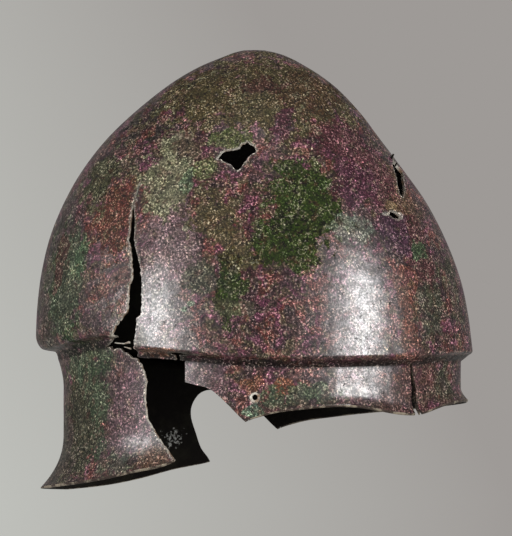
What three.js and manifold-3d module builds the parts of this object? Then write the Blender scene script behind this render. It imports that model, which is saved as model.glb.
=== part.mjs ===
// An ancient bronze helmet of the Italic tall-domed kind, raised from one sheet.
// It has a high pointed dome, a step all round at the dome edge, a low brow band with ear cut-outs
// and a deep curved neck guard. The sheet is torn and cracked as it was found, and it is divided
// here along its step and its tears into the dome, the neck guard and the two halves of the band.
// Millimetres. +Z is up, the wearer faces -Y, and the wearer's right side is at -X.
// The origin is on the surface that the neck guard stands on, under the peak of the dome.
import * as THREE from 'three';
import Module from 'manifold-3d';

const wasm = await Module();
wasm.setup();

// Dome
const FRONT_REACH = 119.8;        // peak axis to the dome edge at the front
const REAR_REACH = 120;           // peak axis to the dome edge at the back
const HALF_WIDTH = 93;            // peak axis to the dome edge at each side
const PEAK_HEIGHT = 240.3;
const EDGE_HEIGHT = 68.2;         // lowest point of the dome edge, in front of the ears
const EDGE_RISE = 8;              // how far the dome edge climbs towards the back
const REAR_TUCK = 3.2;            // how far the dome draws in at its lowest few millimetres behind
const REAR_TUCK_TALL = 7.7;
const WALL = 1.5;

// Step under the dome edge
const STEP_DROP = 4.85;
const STEP_REAR_DROP = 5.8;
const STEP_FRONT_WIDTH = 6.5;     // from the dome edge in to the band, at the front
const STEP_SIDE_WIDTH = 6.5;
const STEP_REAR_WIDTH = 15.5;     // from the dome edge in to the narrowest place of the neck guard
const COVE = 3;                   // hollow corner between the step and the neck guard
const COVE_TALL = 16;
const SEAM_GAP = 0.3;             // clearance along the step between the dome and what it carries

// Brow band and neck guard
const BAND_FLARE_WIDTH = 4.6;     // outward turn of the band rim at the front
const BAND_FLARE_TALL = 7;
const NECK_FLARE_WIDTH = 13.2;    // outward turn of the neck guard at the back
const NECK_SIDE_FLARE_WIDTH = 9;
const NECK_FLARE_TALL = 31;
const RIM_FRONT_HEIGHT = 47.4;    // band rim at the front, above the neck guard's foot
const RIM_DIP = 7;                // how far the bent right half of the band hangs down at its crack
const NECK_TILT_HEIGHT = 2.5;     // how far the neck guard is bent down at the right, up at the left

// Damage
const TEAR_LIFT = 7;              // how far the step is bent up behind the long crack
const CRACK_FOOT_RISE = -8;       // long crack, from under the step up the right side of the dome
const CRACK_TALL = 101;
const SPLIT_RISE = 86.3;          // short crack high on the brow
const SPLIT_TALL = 23.3;
const HOLE_RISE = 100.9;          // ragged hole high on the right side
const HOLE_TALL = 16.2;
const PIT_RISE = 74.3;            // small hole below the short crack
const PIT_TALL = 3.2;
const LOSS_FOOT = 6;              // torn right edge of the neck guard, where a fragment is lost
const LOSS_TALL = 76;
const NOTCH_FOOT = 30;            // crack through the brow band
const NOTCH_TALL = 40;

// Ear cut-outs
const EAR_CORNER_HEIGHT = 17.7;   // front corner of the neck guard
const EAR_TALL = 38.8;            // that corner to the top of the cut-out

// Holes for the cheekpiece fastenings
const HINGE_HOLE = 2.9;
const HINGE_HOLE_HEIGHT = 47.2;
const BURR_WIDTH = 4.9;
const BURR_PROUD = 0.5;

// Cutting
const OVERRUN = 8;
const DEEP_OVERRUN = 18;

// Angles in degrees, turned from the front towards the wearer's right
const FULL_TURN = 360;
const CRACK_ANGLE = 115;
const CRACK_SPREAD_ANGLE = 18;
const SPLIT_ANGLE = 6;
const SPLIT_SPREAD_ANGLE = 20;
const HOLE_ANGLE = 83.5;
const HOLE_SPREAD_ANGLE = 15.5;
const PIT_ANGLE = 34;
const PIT_SPREAD_ANGLE = 3;
const LOSS_ANGLE = 100;
const LOSS_SPREAD_ANGLE = 34;
const NOTCH_ANGLE = 34;
const NOTCH_SPREAD_ANGLE = 8;
const EAR_ANGLE = 86;
const EAR_SPREAD_ANGLE = 29;
const HINGE_ANGLE = 85.2;
const BAND_END_ANGLE = 105.7;      // broken rear end of the right half of the band
const BAND_SPLIT_ANGLE = 253;      // narrowest place over the left ear, where band and guard divide
const DIP_ANGLE = 37;

// Vertical section of the dome: share of its height, share of its reach in front, and behind
const heightShares = [0, 0.12, 0.25, 0.38, 0.5, 0.61, 0.71, 0.8, 0.88, 0.94, 0.98, 0.998, 1];
const frontShares = [1, 0.98, 0.941, 0.871, 0.783, 0.675, 0.572, 0.476, 0.368, 0.25, 0.144, 0.055, 0];
const rearShares = [1, 0.995, 0.975, 0.9325, 0.864, 0.777, 0.667, 0.536, 0.397, 0.261, 0.131, 0.055, 0];

// Rise of the dome edge, by the share of the way from the back, -1, to the front, 1
const edgeAtShares = [-1, -0.8, -0.6, -0.4, -0.2, 0, 0.2, 0.4, 0.6, 0.75, 0.88, 1];
const edgeRiseShares = [1, 0.86, 0.675, 0.49, 0.3, 0.125, 0.025, 0, 0.09, 0.21, 0.45, 0.725];

// Upward bend beside the long crack, by the turn: of the dome, and of the neck guard
const domeLiftTurns = [95, 105, 115, 121, 124, 127, 134, 142, 150, 162];
const domeLiftShares = [0, 0.09, 0.18, 0.18, 0.6, 1, 0.87, 0.58, 0.26, 0];
const guardLiftTurns = [117, 122, 127, 134, 142, 150, 162];
const guardLiftShares = [0.6, 0.8, 1, 0.87, 0.58, 0.26, 0];

// Section of the step: share along it, share of its way in, share of its way down
const stepShares = [0, 0.2, 0.45, 0.7, 0.88, 1];
const stepFrontInShares = [0, 0.2, 0.45, 0.7, 0.9, 1];
const stepFrontDownShares = [0, 0.12, 0.38, 0.66, 0.86, 1];
const stepRearInShares = [0, 0.28, 0.6, 0.82, 0.94, 1];
const stepRearDownShares = [0, 0.06, 0.1, 0.24, 0.56, 1];

// Height of the rim, by the share of the way from the back to the front
const rimAtShares = [-1, -0.9, -0.765, -0.64, -0.5, -0.3, 0.04, 0.13, 0.2, 0.31, 0.45, 0.6, 0.8, 1];
const rimHeightShares = [
  -0.008, 0.02, 0.061, 0.118, 0.203, 0.316, 0.722, 0.793, 0.831, 0.865, 0.903, 0.932, 0.966, 1,
];

// Outlines of the tears: shares of the spread, from front to back, and of the height, from below
const crackShares = [
  [0.476, 1], [0.456, 0.877], [0.357, 0.8], [0.279, 0.673], [0.234, 0.635], [0.102, 0.522],
  [0.057, 0.433], [0.047, 0.338], [0.05, 0.265], [0.116, 0.252], [0.126, 0.177], [0.175, 0.085],
  [0.19, 0.06], [0.27, 0], [0.97, 0], [0.8, 0.045], [0.651, 0.075], [0.573, 0.095], [0.495, 0.172],
  [0.375, 0.244], [0.29, 0.285], [0.282, 0.367], [0.284, 0.424], [0.238, 0.476], [0.3, 0.59],
  [0.354, 0.66], [0.414, 0.682], [0.394, 0.705], [0.436, 0.8], [0.484, 0.877],
];
const splitShares = [
  [0.04, 1], [0.16, 0.82], [0.09, 0.65], [0.5, 0.44], [0.66, 0.26], [0.98, 0], [0.8, 0.31],
  [0.56, 0.54], [0.36, 0.79],
];
const holeShares = [
  [0.96, 0.39], [0.91, 0.51], [0.825, 0.655], [0.737, 0.69], [0.6, 0.73], [0.47, 0.785],
  [0.433, 0.9], [0.28, 1], [0.072, 0.83], [0.026, 0.705], [0.084, 0.595], [0.19, 0.53],
  [0.275, 0.39], [0.34, 0.27], [0.4, 0.095], [0.455, 0], [0.52, 0], [0.58, 0.09], [0.632, 0.18],
  [0.76, 0.26], [0.868, 0.36],
];
const pitShares = [[0.93, 0.66], [0.5, 1], [0.32, 0.65], [0.08, 0.16], [0.57, 0]];
const lossShares = [
  [-0.3, 1.4], [0.945, 1.4], [0.945, 0.93], [0.935, 0.9], [0.91, 0.885], [0.86, 0.9],
  [0.82, 0.895], [0.79, 0.87], [0.75, 0.867], [0.7, 0.83], [0.65, 0.827], [0.61, 0.79],
  [0.58, 0.74], [0.56, 0.685], [0.547, 0.66], [0.56, 0.61], [0.565, 0.53], [0.54, 0.4],
  [0.435, 0.283], [0.21, 0.105], [0.21, -0.3], [-0.3, -0.3],
];
// Crack through the band: the edge behind it, then the edge ahead of it, from the top down
const notchBehindShares = [[0.49, 1.2], [0.475, 0.85], [0.42, 0.55], [0.6, 0.35], [0.75, 0.19], [0.78, -0.4]];
const notchAheadShares = [[0.43, 1.2], [0.41, 0.85], [0.33, 0.55], [0.46, 0.35], [0.52, 0.17], [0.54, -0.4]];
const earShares = [
  [0.76, -0.8], [0.755, -0.12], [0.77, 0], [0.865, 0.155], [0.93, 0.345], [0.997, 0.595],
  [0.987, 0.775], [0.907, 0.935], [0.793, 0.995], [0.665, 0.97], [0.55, 0.93], [0.415, 0.875],
  [0.26, 0.7], [0.083, 0.452], [0.045, 0.41], [0.03, 0.38], [0.01, -0.8],
];

// A smooth curve through a table of places and values
function smoothTable(places, values, place) {
  const last = places.length - 1;
  const x = THREE.MathUtils.clamp(place, places[0], places[last]);
  let i = 0;
  while (i < last - 1 && places[i + 1] < x) i += 1;
  const slope = (k) => {
    const before = Math.max(k - 1, 0);
    const after = Math.min(k + 1, last);
    return (values[after] - values[before]) / (places[after] - places[before]);
  };
  const step = places[i + 1] - places[i];
  const u = (x - places[i]) / step;
  return (1 + 2 * u) * (1 - u) ** 2 * values[i] + u * (1 - u) ** 2 * step * slope(i)
    + u * u * (3 - 2 * u) * values[i + 1] + u * u * (u - 1) * step * slope(i + 1);
}

const ease = (x) => THREE.MathUtils.smoothstep(x, 0, 1);
const mix = THREE.MathUtils.lerp;
const heading = (turn) => {
  const angle = THREE.MathUtils.degToRad(turn);
  return { ahead: Math.cos(angle), aside: Math.sin(angle), behind: Math.max(0, -Math.cos(angle)) };
};
const frontWaist = FRONT_REACH - STEP_FRONT_WIDTH;
const sideWaist = HALF_WIDTH - STEP_SIDE_WIDTH;
const rearWaist = REAR_REACH - STEP_REAR_WIDTH;
const seamTurn = THREE.MathUtils.radToDeg(SEAM_GAP / sideWaist);
const place = (ahead, aside, height) => new THREE.Vector3(-aside, -ahead, height);

// Dome edge and rims, all round

const edgeHeight = (ahead) => EDGE_HEIGHT + EDGE_RISE * smoothTable(edgeAtShares, edgeRiseShares, ahead);
const stepDrop = (behind) => STEP_DROP + (STEP_REAR_DROP - STEP_DROP) * behind ** 2;
const cove = (behind) => COVE * behind ** 2;
const waist = (ahead) => (ahead > 0 ? frontWaist : rearWaist);

// The sheet behind the long crack is bent up. The neck guard stays up as far as its torn edge,
// and the dome drops back across the crack.
function tearLift(turn, onGuard) {
  if (onGuard) return TEAR_LIFT * smoothTable(guardLiftTurns, guardLiftShares, turn);
  return TEAR_LIFT * smoothTable(domeLiftTurns, domeLiftShares, turn);
}

// The neck guard is twisted a little, and the band hangs down at its crack on the right only
function rimHeight(turn) {
  const { ahead, aside, behind } = heading(turn);
  const rim = RIM_FRONT_HEIGHT * smoothTable(rimAtShares, rimHeightShares, ahead);
  const tilt = NECK_TILT_HEIGHT * aside * ease((behind - 0.1) / 0.3) * ease((1 - behind) / 0.6);
  const dipAhead = heading(DIP_ANGLE).ahead;
  const spread = ahead > dipAhead ? 0.12 : 0.2;
  const dip = ahead > 0 ? RIM_DIP * Math.exp(-(((ahead - dipAhead) / spread) ** 2)) : 0;
  return rim - tilt - dip * ease(aside / 0.3);
}

// Outer surface of the sheet, part by part

function domePoint(turn, share, onGuard = false) {
  const { ahead, aside, behind } = heading(turn);
  const base = edgeHeight(ahead);
  const height = mix(base, PEAK_HEIGHT, share) + tearLift(turn, onGuard) * (1 - share) ** 6;
  const tuckShare = REAR_TUCK_TALL / (PEAK_HEIGHT - EDGE_HEIGHT);
  const tuck = REAR_TUCK * behind ** 2 * Math.max(0, 1 - share / tuckShare) ** 2;
  const front = smoothTable(heightShares, frontShares, share);
  const rear = smoothTable(heightShares, rearShares, share);
  const reach = ahead > 0 ? FRONT_REACH * front : REAR_REACH * rear;
  const drawn = 1 - tuck / REAR_REACH;
  return place(reach * ahead * drawn, HALF_WIDTH * (front + rear) / 2 * aside * drawn, height);
}

function waistPoint(turn, onGuard) {
  const { ahead, aside, behind } = heading(turn);
  const height = edgeHeight(ahead) + tearLift(turn, onGuard) - stepDrop(behind);
  return place((waist(ahead) + cove(behind)) * ahead, (sideWaist + cove(behind)) * aside, height);
}

function stepPoint(turn, share, onGuard = false) {
  const { behind } = heading(turn);
  const edge = domePoint(turn, 0, onGuard);
  const foot = waistPoint(turn, onGuard);
  const rearward = Math.sqrt(behind);
  const blend = (frontShares, backShares) => mix(
    smoothTable(stepShares, frontShares, share), smoothTable(stepShares, backShares, share), rearward);
  const inward = blend(stepFrontInShares, stepRearInShares);
  const down = blend(stepFrontDownShares, stepRearDownShares);
  const level = edge.clone().lerp(foot, inward);
  return level.setZ(mix(edge.z, foot.z, down));
}

function skirtPoint(turn, height, onGuard = false) {
  const { ahead, aside, behind } = heading(turn);
  const guard = ease(behind / 0.3);
  const tall = mix(BAND_FLARE_TALL, NECK_FLARE_TALL, guard);
  const bandFlare = BAND_FLARE_WIDTH * Math.max(0, ahead);
  const flare = mix(bandFlare, mix(NECK_SIDE_FLARE_WIDTH, NECK_FLARE_WIDTH, ahead * ahead), guard);
  const above = THREE.MathUtils.clamp(1 - (height - rimHeight(turn)) / tall, 0, 1.3);
  const under = Math.max(0, 1 - (waistPoint(turn, onGuard).z - height) / COVE_TALL);
  const out = flare * above ** mix(1.6, 2.3, guard) + cove(behind) * Math.min(1, under) ** 2;
  return place((waist(ahead) + out) * ahead, (sideWaist + out) * aside, height);
}

// One line down the sheet, from the peak to the rim, and where its parts begin
const DOME_ROWS = 24;
const domeRowShares = [];
for (let k = 1; k < DOME_ROWS; k += 1) domeRowShares.push(1 - (k / DOME_ROWS) ** 2);
domeRowShares.push(0.04, 0.015, 0);
const skirtRowShares = [0, 0.1, 0.25, 0.45, 0.62, 0.77, 0.88, 0.95, 1];
const STEP_START = domeRowShares.length;
const SKIRT_START = STEP_START + stepShares.length - 1;

function sectionLine(turn, onGuard) {
  const line = domeRowShares.map((share) => domePoint(turn, share, onGuard));
  stepShares.slice(1).forEach((share) => line.push(stepPoint(turn, share, onGuard)));
  const top = waistPoint(turn, onGuard).z - SEAM_GAP;
  skirtRowShares.forEach((share) => line.push(skirtPoint(turn, mix(top, rimHeight(turn), share), onGuard)));
  return line;
}

// The same line on the inner face, one wall deeper. At a corner the two directions are averaged.
function innerLine(turn, onGuard) {
  const NUDGE = 0.5;
  const line = sectionLine(turn, onGuard);
  const before = sectionLine(turn - NUDGE, onGuard);
  const after = sectionLine(turn + NUDGE, onGuard);
  const inwards = line.map((point, row) => {
    const down = new THREE.Vector3();
    if (row > 0) down.add(point.clone().sub(line[row - 1]).normalize());
    if (row < line.length - 1) down.add(line[row + 1].clone().sub(point).normalize());
    return down.cross(after[row].clone().sub(before[row])).normalize();
  });
  inwards[SKIRT_START] = inwards[SKIRT_START - 1];
  return line.map((point, row) => point.clone().addScaledVector(inwards[row], WALL));
}

// Solids

function toSolid(points, triangles) {
  let volume = 0;
  for (let k = 0; k < triangles.length; k += 3) {
    const [a, b, c] = [points[triangles[k]], points[triangles[k + 1]], points[triangles[k + 2]]];
    volume += a.dot(b.clone().cross(c));
  }
  const facing = volume < 0 ? triangles.slice().reverse() : triangles;
  const vertProperties = new Float32Array(points.flatMap((point) => point.toArray()));
  const mesh = new wasm.Mesh({ numProp: 3, vertProperties, triVerts: new Uint32Array(facing) });
  return new wasm.Manifold(mesh);
}

// Joins two rows of points of equal length with triangles
function joinRows(triangles, rowA, rowB, round) {
  const count = rowA.length;
  const spans = round ? count : count - 1;
  for (let k = 0; k < spans; k += 1) {
    const next = (k + 1) % count;
    triangles.push(rowA[k], rowB[k], rowB[next], rowA[k], rowB[next], rowA[next]);
  }
}

// The dome closes round the peak. Its inner face needs fewer rows than its outer face.
function domeSolid() {
  const COLUMNS = 80;
  const turns = Array.from({ length: COLUMNS }, (_, k) => (k * FULL_TURN) / COLUMNS);
  const points = [];
  const addRow = (lines, row) => lines.map((line) => points.push(line[row]) - 1);
  const outer = turns.map((turn) => sectionLine(turn, false));
  const inner = turns.map((turn) => innerLine(turn, false));
  const innerRows = [];
  for (let row = 1; row < DOME_ROWS; row += 2) innerRows.push(row);
  innerRows.push(STEP_START - 1, STEP_START + 1, SKIRT_START - 1);
  const outerIndex = Array.from({ length: SKIRT_START }, (_, row) => addRow(outer, row));
  const innerIndex = innerRows.map((row) => addRow(inner, row));
  const outerPeak = points.push(place(0, 0, PEAK_HEIGHT)) - 1;
  const innerPeak = points.push(place(0, 0, PEAK_HEIGHT - WALL)) - 1;
  const triangles = [];
  const fan = (row, peak, flip) => row.forEach((index, k) => {
    const next = row[(k + 1) % row.length];
    triangles.push(...(flip ? [peak, next, index] : [peak, index, next]));
  });
  fan(outerIndex[0], outerPeak, false);
  const rowsInTurn = [...outerIndex, ...innerIndex.reverse()];
  for (let k = 1; k < rowsInTurn.length; k += 1) joinRows(triangles, rowsInTurn[k - 1], rowsInTurn[k], true);
  fan(innerIndex.at(-1), innerPeak, true);
  return toSolid(points, triangles);
}

// A length of the sheet under the step, from one turn to another
function skirtSolid(from, to, columns, onGuard) {
  const turns = Array.from({ length: columns + 1 }, (_, k) => mix(from, to, k / columns));
  const points = [];
  const outer = turns.map((turn) => sectionLine(turn, onGuard).slice(SKIRT_START));
  const inner = turns.map((turn) => innerLine(turn, onGuard).slice(SKIRT_START));
  const rows = outer[0].map((_, row) => outer.map((line) => points.push(line[row]) - 1));
  const backRows = inner[0].map((_, row) => inner.map((line) => points.push(line[row]) - 1));
  const loop = rows.concat(backRows.reverse());
  const triangles = [];
  loop.forEach((row, k) => joinRows(triangles, row, loop[(k + 1) % loop.length], false));
  const cap = (column, flip) => {
    for (let k = 0; k < rows.length - 1; k += 1) {
      const facing = backRows.length - 1 - k;
      const corners = [rows[k], rows[k + 1], backRows[facing - 1], backRows[facing]];
      const [a, b, c, d] = corners.map((row) => row[column]);
      triangles.push(...(flip ? [a, c, b, a, d, c] : [a, b, c, a, c, d]));
    }
  };
  cap(0, true);
  cap(columns, false);
  return toSolid(points, triangles);
}

// A cutter with the outline of a tear, standing square to the sheet where it passes through
function tearCutter(outline, guide, outward, inward) {
  const flat = outline.map(([turn, height]) => new THREE.Vector2(turn, height));
  const caps = THREE.ShapeUtils.triangulateShape(flat, []);
  const sides = outline.map(([turn, height]) => guide(turn, height));
  const points = sides.map(({ point, out }) => point.clone().addScaledVector(out, outward));
  sides.forEach(({ point, out }) => points.push(point.clone().addScaledVector(out, -inward)));
  const count = outline.length;
  const triangles = caps.flatMap(([a, b, c]) => [a, b, c, count + a, count + c, count + b]);
  const clockwise = THREE.ShapeUtils.isClockWise(flat);
  for (let k = 0; k < count; k += 1) {
    const next = (k + 1) % count;
    const quad = [k, count + k, count + next, k, count + next, next];
    triangles.push(...(clockwise ? quad.reverse() : quad));
  }
  return toSolid(points, triangles);
}

const spreadOut = (shares, turn, spread, foot, tall) => shares.map(
  ([across, up]) => [turn + across * spread, foot + up * tall]);

// Places on the dome by their rise above its edge. Below the edge the place goes straight down.
function onDome(turn, rise) {
  const NUDGE = 0.5;
  const SQUARE_SHARE = 0.06;
  const share = rise / (PEAK_HEIGHT - EDGE_HEIGHT);
  const point = domePoint(turn, Math.max(0, share));
  if (rise < 0) point.z += rise;
  const squareShare = Math.max(share, SQUARE_SHARE);
  const along = domePoint(turn + NUDGE, squareShare).sub(domePoint(turn - NUDGE, squareShare));
  const above = domePoint(turn, squareShare + SQUARE_SHARE / 2);
  const down = domePoint(turn, squareShare - SQUARE_SHARE / 2).sub(above);
  return { point, out: along.cross(down).normalize() };
}

// Places on the band and the neck guard by their height
function onSkirt(turn, height) {
  const NUDGE = 0.5;
  const SQUARE_LOW = EDGE_HEIGHT / 3;
  const SQUARE_HIGH = EDGE_HEIGHT * 0.8;
  const clamped = THREE.MathUtils.clamp(height, SQUARE_LOW, SQUARE_HIGH);
  const point = skirtPoint(turn, Math.max(height, rimHeight(turn)));
  point.z = height;
  const along = skirtPoint(turn + NUDGE, clamped).sub(skirtPoint(turn - NUDGE, clamped));
  return { point, out: along.cross(new THREE.Vector3(0, 0, -1)).normalize() };
}

// One side of the crack through the band: everything from its edge to past the end of the piece,
// behind it for 1 and ahead of it for -1
const NOTCH_CLEAR_SHARE = 1.5;

function notchCutter(shares, towards) {
  const edge = spreadOut(shares, NOTCH_ANGLE, NOTCH_SPREAD_ANGLE, NOTCH_FOOT, NOTCH_TALL);
  const far = NOTCH_ANGLE + towards * NOTCH_CLEAR_SHARE * NOTCH_SPREAD_ANGLE;
  const outline = [...edge, [far, edge.at(-1)[1]], [far, edge[0][1]]];
  return tearCutter(outline, onSkirt, OVERRUN, OVERRUN);
}

const mirrored = (outline) => outline.map(([turn, height]) => [FULL_TURN - turn, height]);
const earOutline = spreadOut(earShares, EAR_ANGLE, EAR_SPREAD_ANGLE, EAR_CORNER_HEIGHT, EAR_TALL);
const earCutter = (left) => tearCutter(left ? mirrored(earOutline) : earOutline, onSkirt, OVERRUN, OVERRUN);

// A round bar through the band, from one depth to another along the way out of the sheet
function barThrough(turn, height, width, from, to) {
  const { point, out } = onSkirt(turn, height);
  const bar = new THREE.CylinderGeometry(width / 2, width / 2, to - from, 20);
  const upright = new THREE.Vector3(0, 1, 0);
  const turned = new THREE.Quaternion().setFromUnitVectors(upright, out);
  const pose = new THREE.Matrix4().makeRotationFromQuaternion(turned);
  pose.setPosition(point.addScaledVector(out, (from + to) / 2));
  bar.applyMatrix4(pose);
  return bar;
}

// Welds a closed geometry's corners and makes it a solid
function weld(geometry) {
  const positions = geometry.attributes.position;
  const points = [];
  const seen = new Map();
  const indices = Array.from({ length: positions.count }, (_, k) => {
    const point = new THREE.Vector3().fromBufferAttribute(positions, k);
    const key = point.toArray().map((value) => value.toFixed(4)).join();
    if (!seen.has(key)) seen.set(key, points.push(point) - 1);
    return seen.get(key);
  });
  const triangles = Array.from(geometry.index.array, (k) => indices[k]);
  return toSolid(points, triangles);
}

// Pieces

function makeDome() {
  const crack = spreadOut(crackShares, CRACK_ANGLE, CRACK_SPREAD_ANGLE, CRACK_FOOT_RISE, CRACK_TALL);
  const split = spreadOut(splitShares, SPLIT_ANGLE, SPLIT_SPREAD_ANGLE, SPLIT_RISE, SPLIT_TALL);
  const hole = spreadOut(holeShares, HOLE_ANGLE, HOLE_SPREAD_ANGLE, HOLE_RISE, HOLE_TALL);
  const pit = spreadOut(pitShares, PIT_ANGLE, PIT_SPREAD_ANGLE, PIT_RISE, PIT_TALL);
  return domeSolid()
    .subtract(tearCutter(crack, onDome, OVERRUN, DEEP_OVERRUN))
    .subtract(tearCutter(split, onDome, OVERRUN, OVERRUN))
    .subtract(tearCutter(hole, onDome, OVERRUN, OVERRUN))
    .subtract(tearCutter(pit, onDome, OVERRUN, OVERRUN));
}

// The underside of the neck guard's rim is worn flat, and it stands there
function restCutter() {
  const wide = 4 * HALF_WIDTH;
  const box = new THREE.BoxGeometry(wide, 4 * REAR_REACH, OVERRUN);
  box.translate(0, 0, -OVERRUN / 2);
  return weld(box);
}

function makeNeckGuard() {
  const loss = spreadOut(lossShares, LOSS_ANGLE, LOSS_SPREAD_ANGLE, LOSS_FOOT, LOSS_TALL);
  return skirtSolid(LOSS_ANGLE, BAND_SPLIT_ANGLE, 42, true)
    .subtract(tearCutter(loss, onSkirt, DEEP_OVERRUN, OVERRUN))
    .subtract(earCutter(true))
    .subtract(restCutter());
}

function withHingeHole(band, turn) {
  const burr = weld(barThrough(turn, HINGE_HOLE_HEIGHT, BURR_WIDTH, -WALL / 2, BURR_PROUD));
  const bore = weld(barThrough(turn, HINGE_HOLE_HEIGHT, HINGE_HOLE, -OVERRUN, OVERRUN));
  return band.add(burr).subtract(bore);
}

function makeRightBand() {
  const band = skirtSolid(NOTCH_ANGLE, BAND_END_ANGLE, 20, false)
    .subtract(notchCutter(notchBehindShares, -1))
    .subtract(earCutter(false));
  return withHingeHole(band, HINGE_ANGLE);
}

function makeLeftBand() {
  const end = NOTCH_ANGLE + NOTCH_SPREAD_ANGLE;
  const band = skirtSolid(BAND_SPLIT_ANGLE - FULL_TURN + seamTurn, end, 38, false)
    .subtract(notchCutter(notchAheadShares, 1))
    .subtract(earCutter(true));
  return withHingeHole(band, -HINGE_ANGLE);
}

// The model

const bronze = (color, roughness) => new THREE.MeshStandardMaterial({ color, roughness, metalness: 0.6 });

function toMesh(name, solid, material) {
  const { numProp, vertProperties, triVerts } = solid.getMesh();
  const positions = new Float32Array((vertProperties.length / numProp) * 3);
  for (let k = 0; k < positions.length / 3; k += 1) {
    positions.set(vertProperties.subarray(k * numProp, k * numProp + 3), k * 3);
  }
  const geometry = new THREE.BufferGeometry();
  geometry.setAttribute('position', new THREE.BufferAttribute(positions, 3));
  geometry.setIndex(Array.from(triVerts));
  geometry.computeVertexNormals();
  const mesh = new THREE.Mesh(geometry, material);
  mesh.name = name;
  return mesh;
}

const helmet = new THREE.Group();
helmet.add(toMesh('dome', makeDome(), bronze(0x5e4a48, 0.42)));
helmet.add(toMesh('neck_guard', makeNeckGuard(), bronze(0x56514a, 0.5)));
helmet.add(toMesh('brow_band_right', makeRightBand(), bronze(0x6a5248, 0.45)));
helmet.add(toMesh('brow_band_left', makeLeftBand(), bronze(0x64504a, 0.45)));
export default helmet;
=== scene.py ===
"""An ancient bronze helmet of the Italic tall-domed kind, torn and patinated, in Blender 4.5.

The four solids of the frame are dressed with a fine sheet that has the same surface: high dome,
step, brow band and neck guard. The tears get ragged edges, the rims are rounded, and the bronze
has its patina. Lengths are in millimetres and become metres where vertices are placed.
+Z is up, the wearer faces -Y, and the wearer's right side, with the tears, is at -X.
"""

import math
from collections import namedtuple

import bmesh
import bpy
import numpy as np
from mathutils import Matrix, Vector, kdtree, noise


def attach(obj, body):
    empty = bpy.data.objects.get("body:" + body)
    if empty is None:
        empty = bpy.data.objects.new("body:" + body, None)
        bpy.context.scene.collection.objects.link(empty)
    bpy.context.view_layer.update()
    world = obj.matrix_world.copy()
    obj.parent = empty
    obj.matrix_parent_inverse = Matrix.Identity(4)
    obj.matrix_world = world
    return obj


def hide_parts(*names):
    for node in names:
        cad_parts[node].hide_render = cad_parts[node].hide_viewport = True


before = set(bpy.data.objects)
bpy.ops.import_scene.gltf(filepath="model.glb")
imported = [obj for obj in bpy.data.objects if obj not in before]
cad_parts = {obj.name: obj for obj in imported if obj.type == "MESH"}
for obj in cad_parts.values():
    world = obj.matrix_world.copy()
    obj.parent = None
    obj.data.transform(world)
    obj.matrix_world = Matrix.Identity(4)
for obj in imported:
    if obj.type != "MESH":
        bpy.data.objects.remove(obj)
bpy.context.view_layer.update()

MM = 0.001
OUTER, INNER, TORN, RIM = range(4)

# Sizes of the helmet
FRONT_REACH = 119.8
REAR_REACH = 120.0
HALF_WIDTH = 93.0
PEAK_HEIGHT = 240.3
EDGE_HEIGHT = 68.2
EDGE_RISE = 8.0
REAR_TUCK = 3.2
REAR_TUCK_TALL = 7.7
WALL = 1.5
STEP_DROP = 4.85
STEP_REAR_DROP = 5.8
STEP_FRONT_WIDTH = 6.5
STEP_SIDE_WIDTH = 6.5
STEP_REAR_WIDTH = 15.5
FRONT_WAIST = FRONT_REACH - STEP_FRONT_WIDTH
SIDE_WAIST = HALF_WIDTH - STEP_SIDE_WIDTH
REAR_WAIST = REAR_REACH - STEP_REAR_WIDTH
COVE = 3.0
COVE_TALL = 16.0
BAND_FLARE = 4.6
BAND_FLARE_TALL = 7.0
BAND_FLARE_CURVE = 1.6
NECK_FLARE = 13.2
NECK_SIDE_FLARE = 9.0
NECK_FLARE_TALL = 31.0
NECK_FLARE_CURVE = 2.3
FLARE_MOST = 1.3
GUARD_BEHIND = 0.3
RIM_FRONT_HEIGHT = 47.4
RIM_DIP = 7.0
DIP_TURN = 37.0
DIP_SPREAD_AHEAD = 0.12
DIP_SPREAD_BEHIND = 0.2
DIP_FADE = 0.3
NECK_TILT = 2.5
TILT_FROM = 0.1
TILT_RISE = 0.3
TILT_FADE = 0.6
TEAR_LIFT = 7.0
TEAR_LIFT_CURVE = 6

# Share of the dome's height, and its share of the reach in front and behind
HEIGHTS = [0, 0.12, 0.25, 0.38, 0.5, 0.61, 0.71, 0.8, 0.88, 0.94, 0.98, 0.998, 1]
FRONTS = [1, 0.98, 0.941, 0.871, 0.783, 0.675, 0.572, 0.476, 0.368, 0.25, 0.144, 0.055, 0]
REARS = [1, 0.995, 0.975, 0.9325, 0.864, 0.777, 0.667, 0.536, 0.397, 0.261, 0.131, 0.055, 0]

# Rise of the dome edge, by the share of the way from the back to the front
EDGE_AT = [-1, -0.8, -0.6, -0.4, -0.2, 0, 0.2, 0.4, 0.6, 0.75, 0.88, 1]
EDGE_RISES = [1, 0.86, 0.675, 0.49, 0.3, 0.125, 0.025, 0, 0.09, 0.21, 0.45, 0.725]

# Lift of the sheet behind the long crack, by turn
DOME_LIFT_TURNS = [95, 105, 115, 121, 124, 127, 134, 142, 150, 162]
DOME_LIFTS = [0, 0.09, 0.18, 0.18, 0.6, 1, 0.87, 0.58, 0.26, 0]
GUARD_LIFT_TURNS = [117, 122, 127, 134, 142, 150, 162]
GUARD_LIFTS = [0.6, 0.8, 1, 0.87, 0.58, 0.26, 0]

# Way along the step, and how far in and down it has come in front and behind
STEP_ALONG = [0, 0.2, 0.45, 0.7, 0.88, 1]
STEP_FRONT_IN = [0, 0.2, 0.45, 0.7, 0.9, 1]
STEP_FRONT_DOWN = [0, 0.12, 0.38, 0.66, 0.86, 1]
STEP_REAR_IN = [0, 0.28, 0.6, 0.82, 0.94, 1]
STEP_REAR_DOWN = [0, 0.06, 0.1, 0.24, 0.56, 1]

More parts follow.
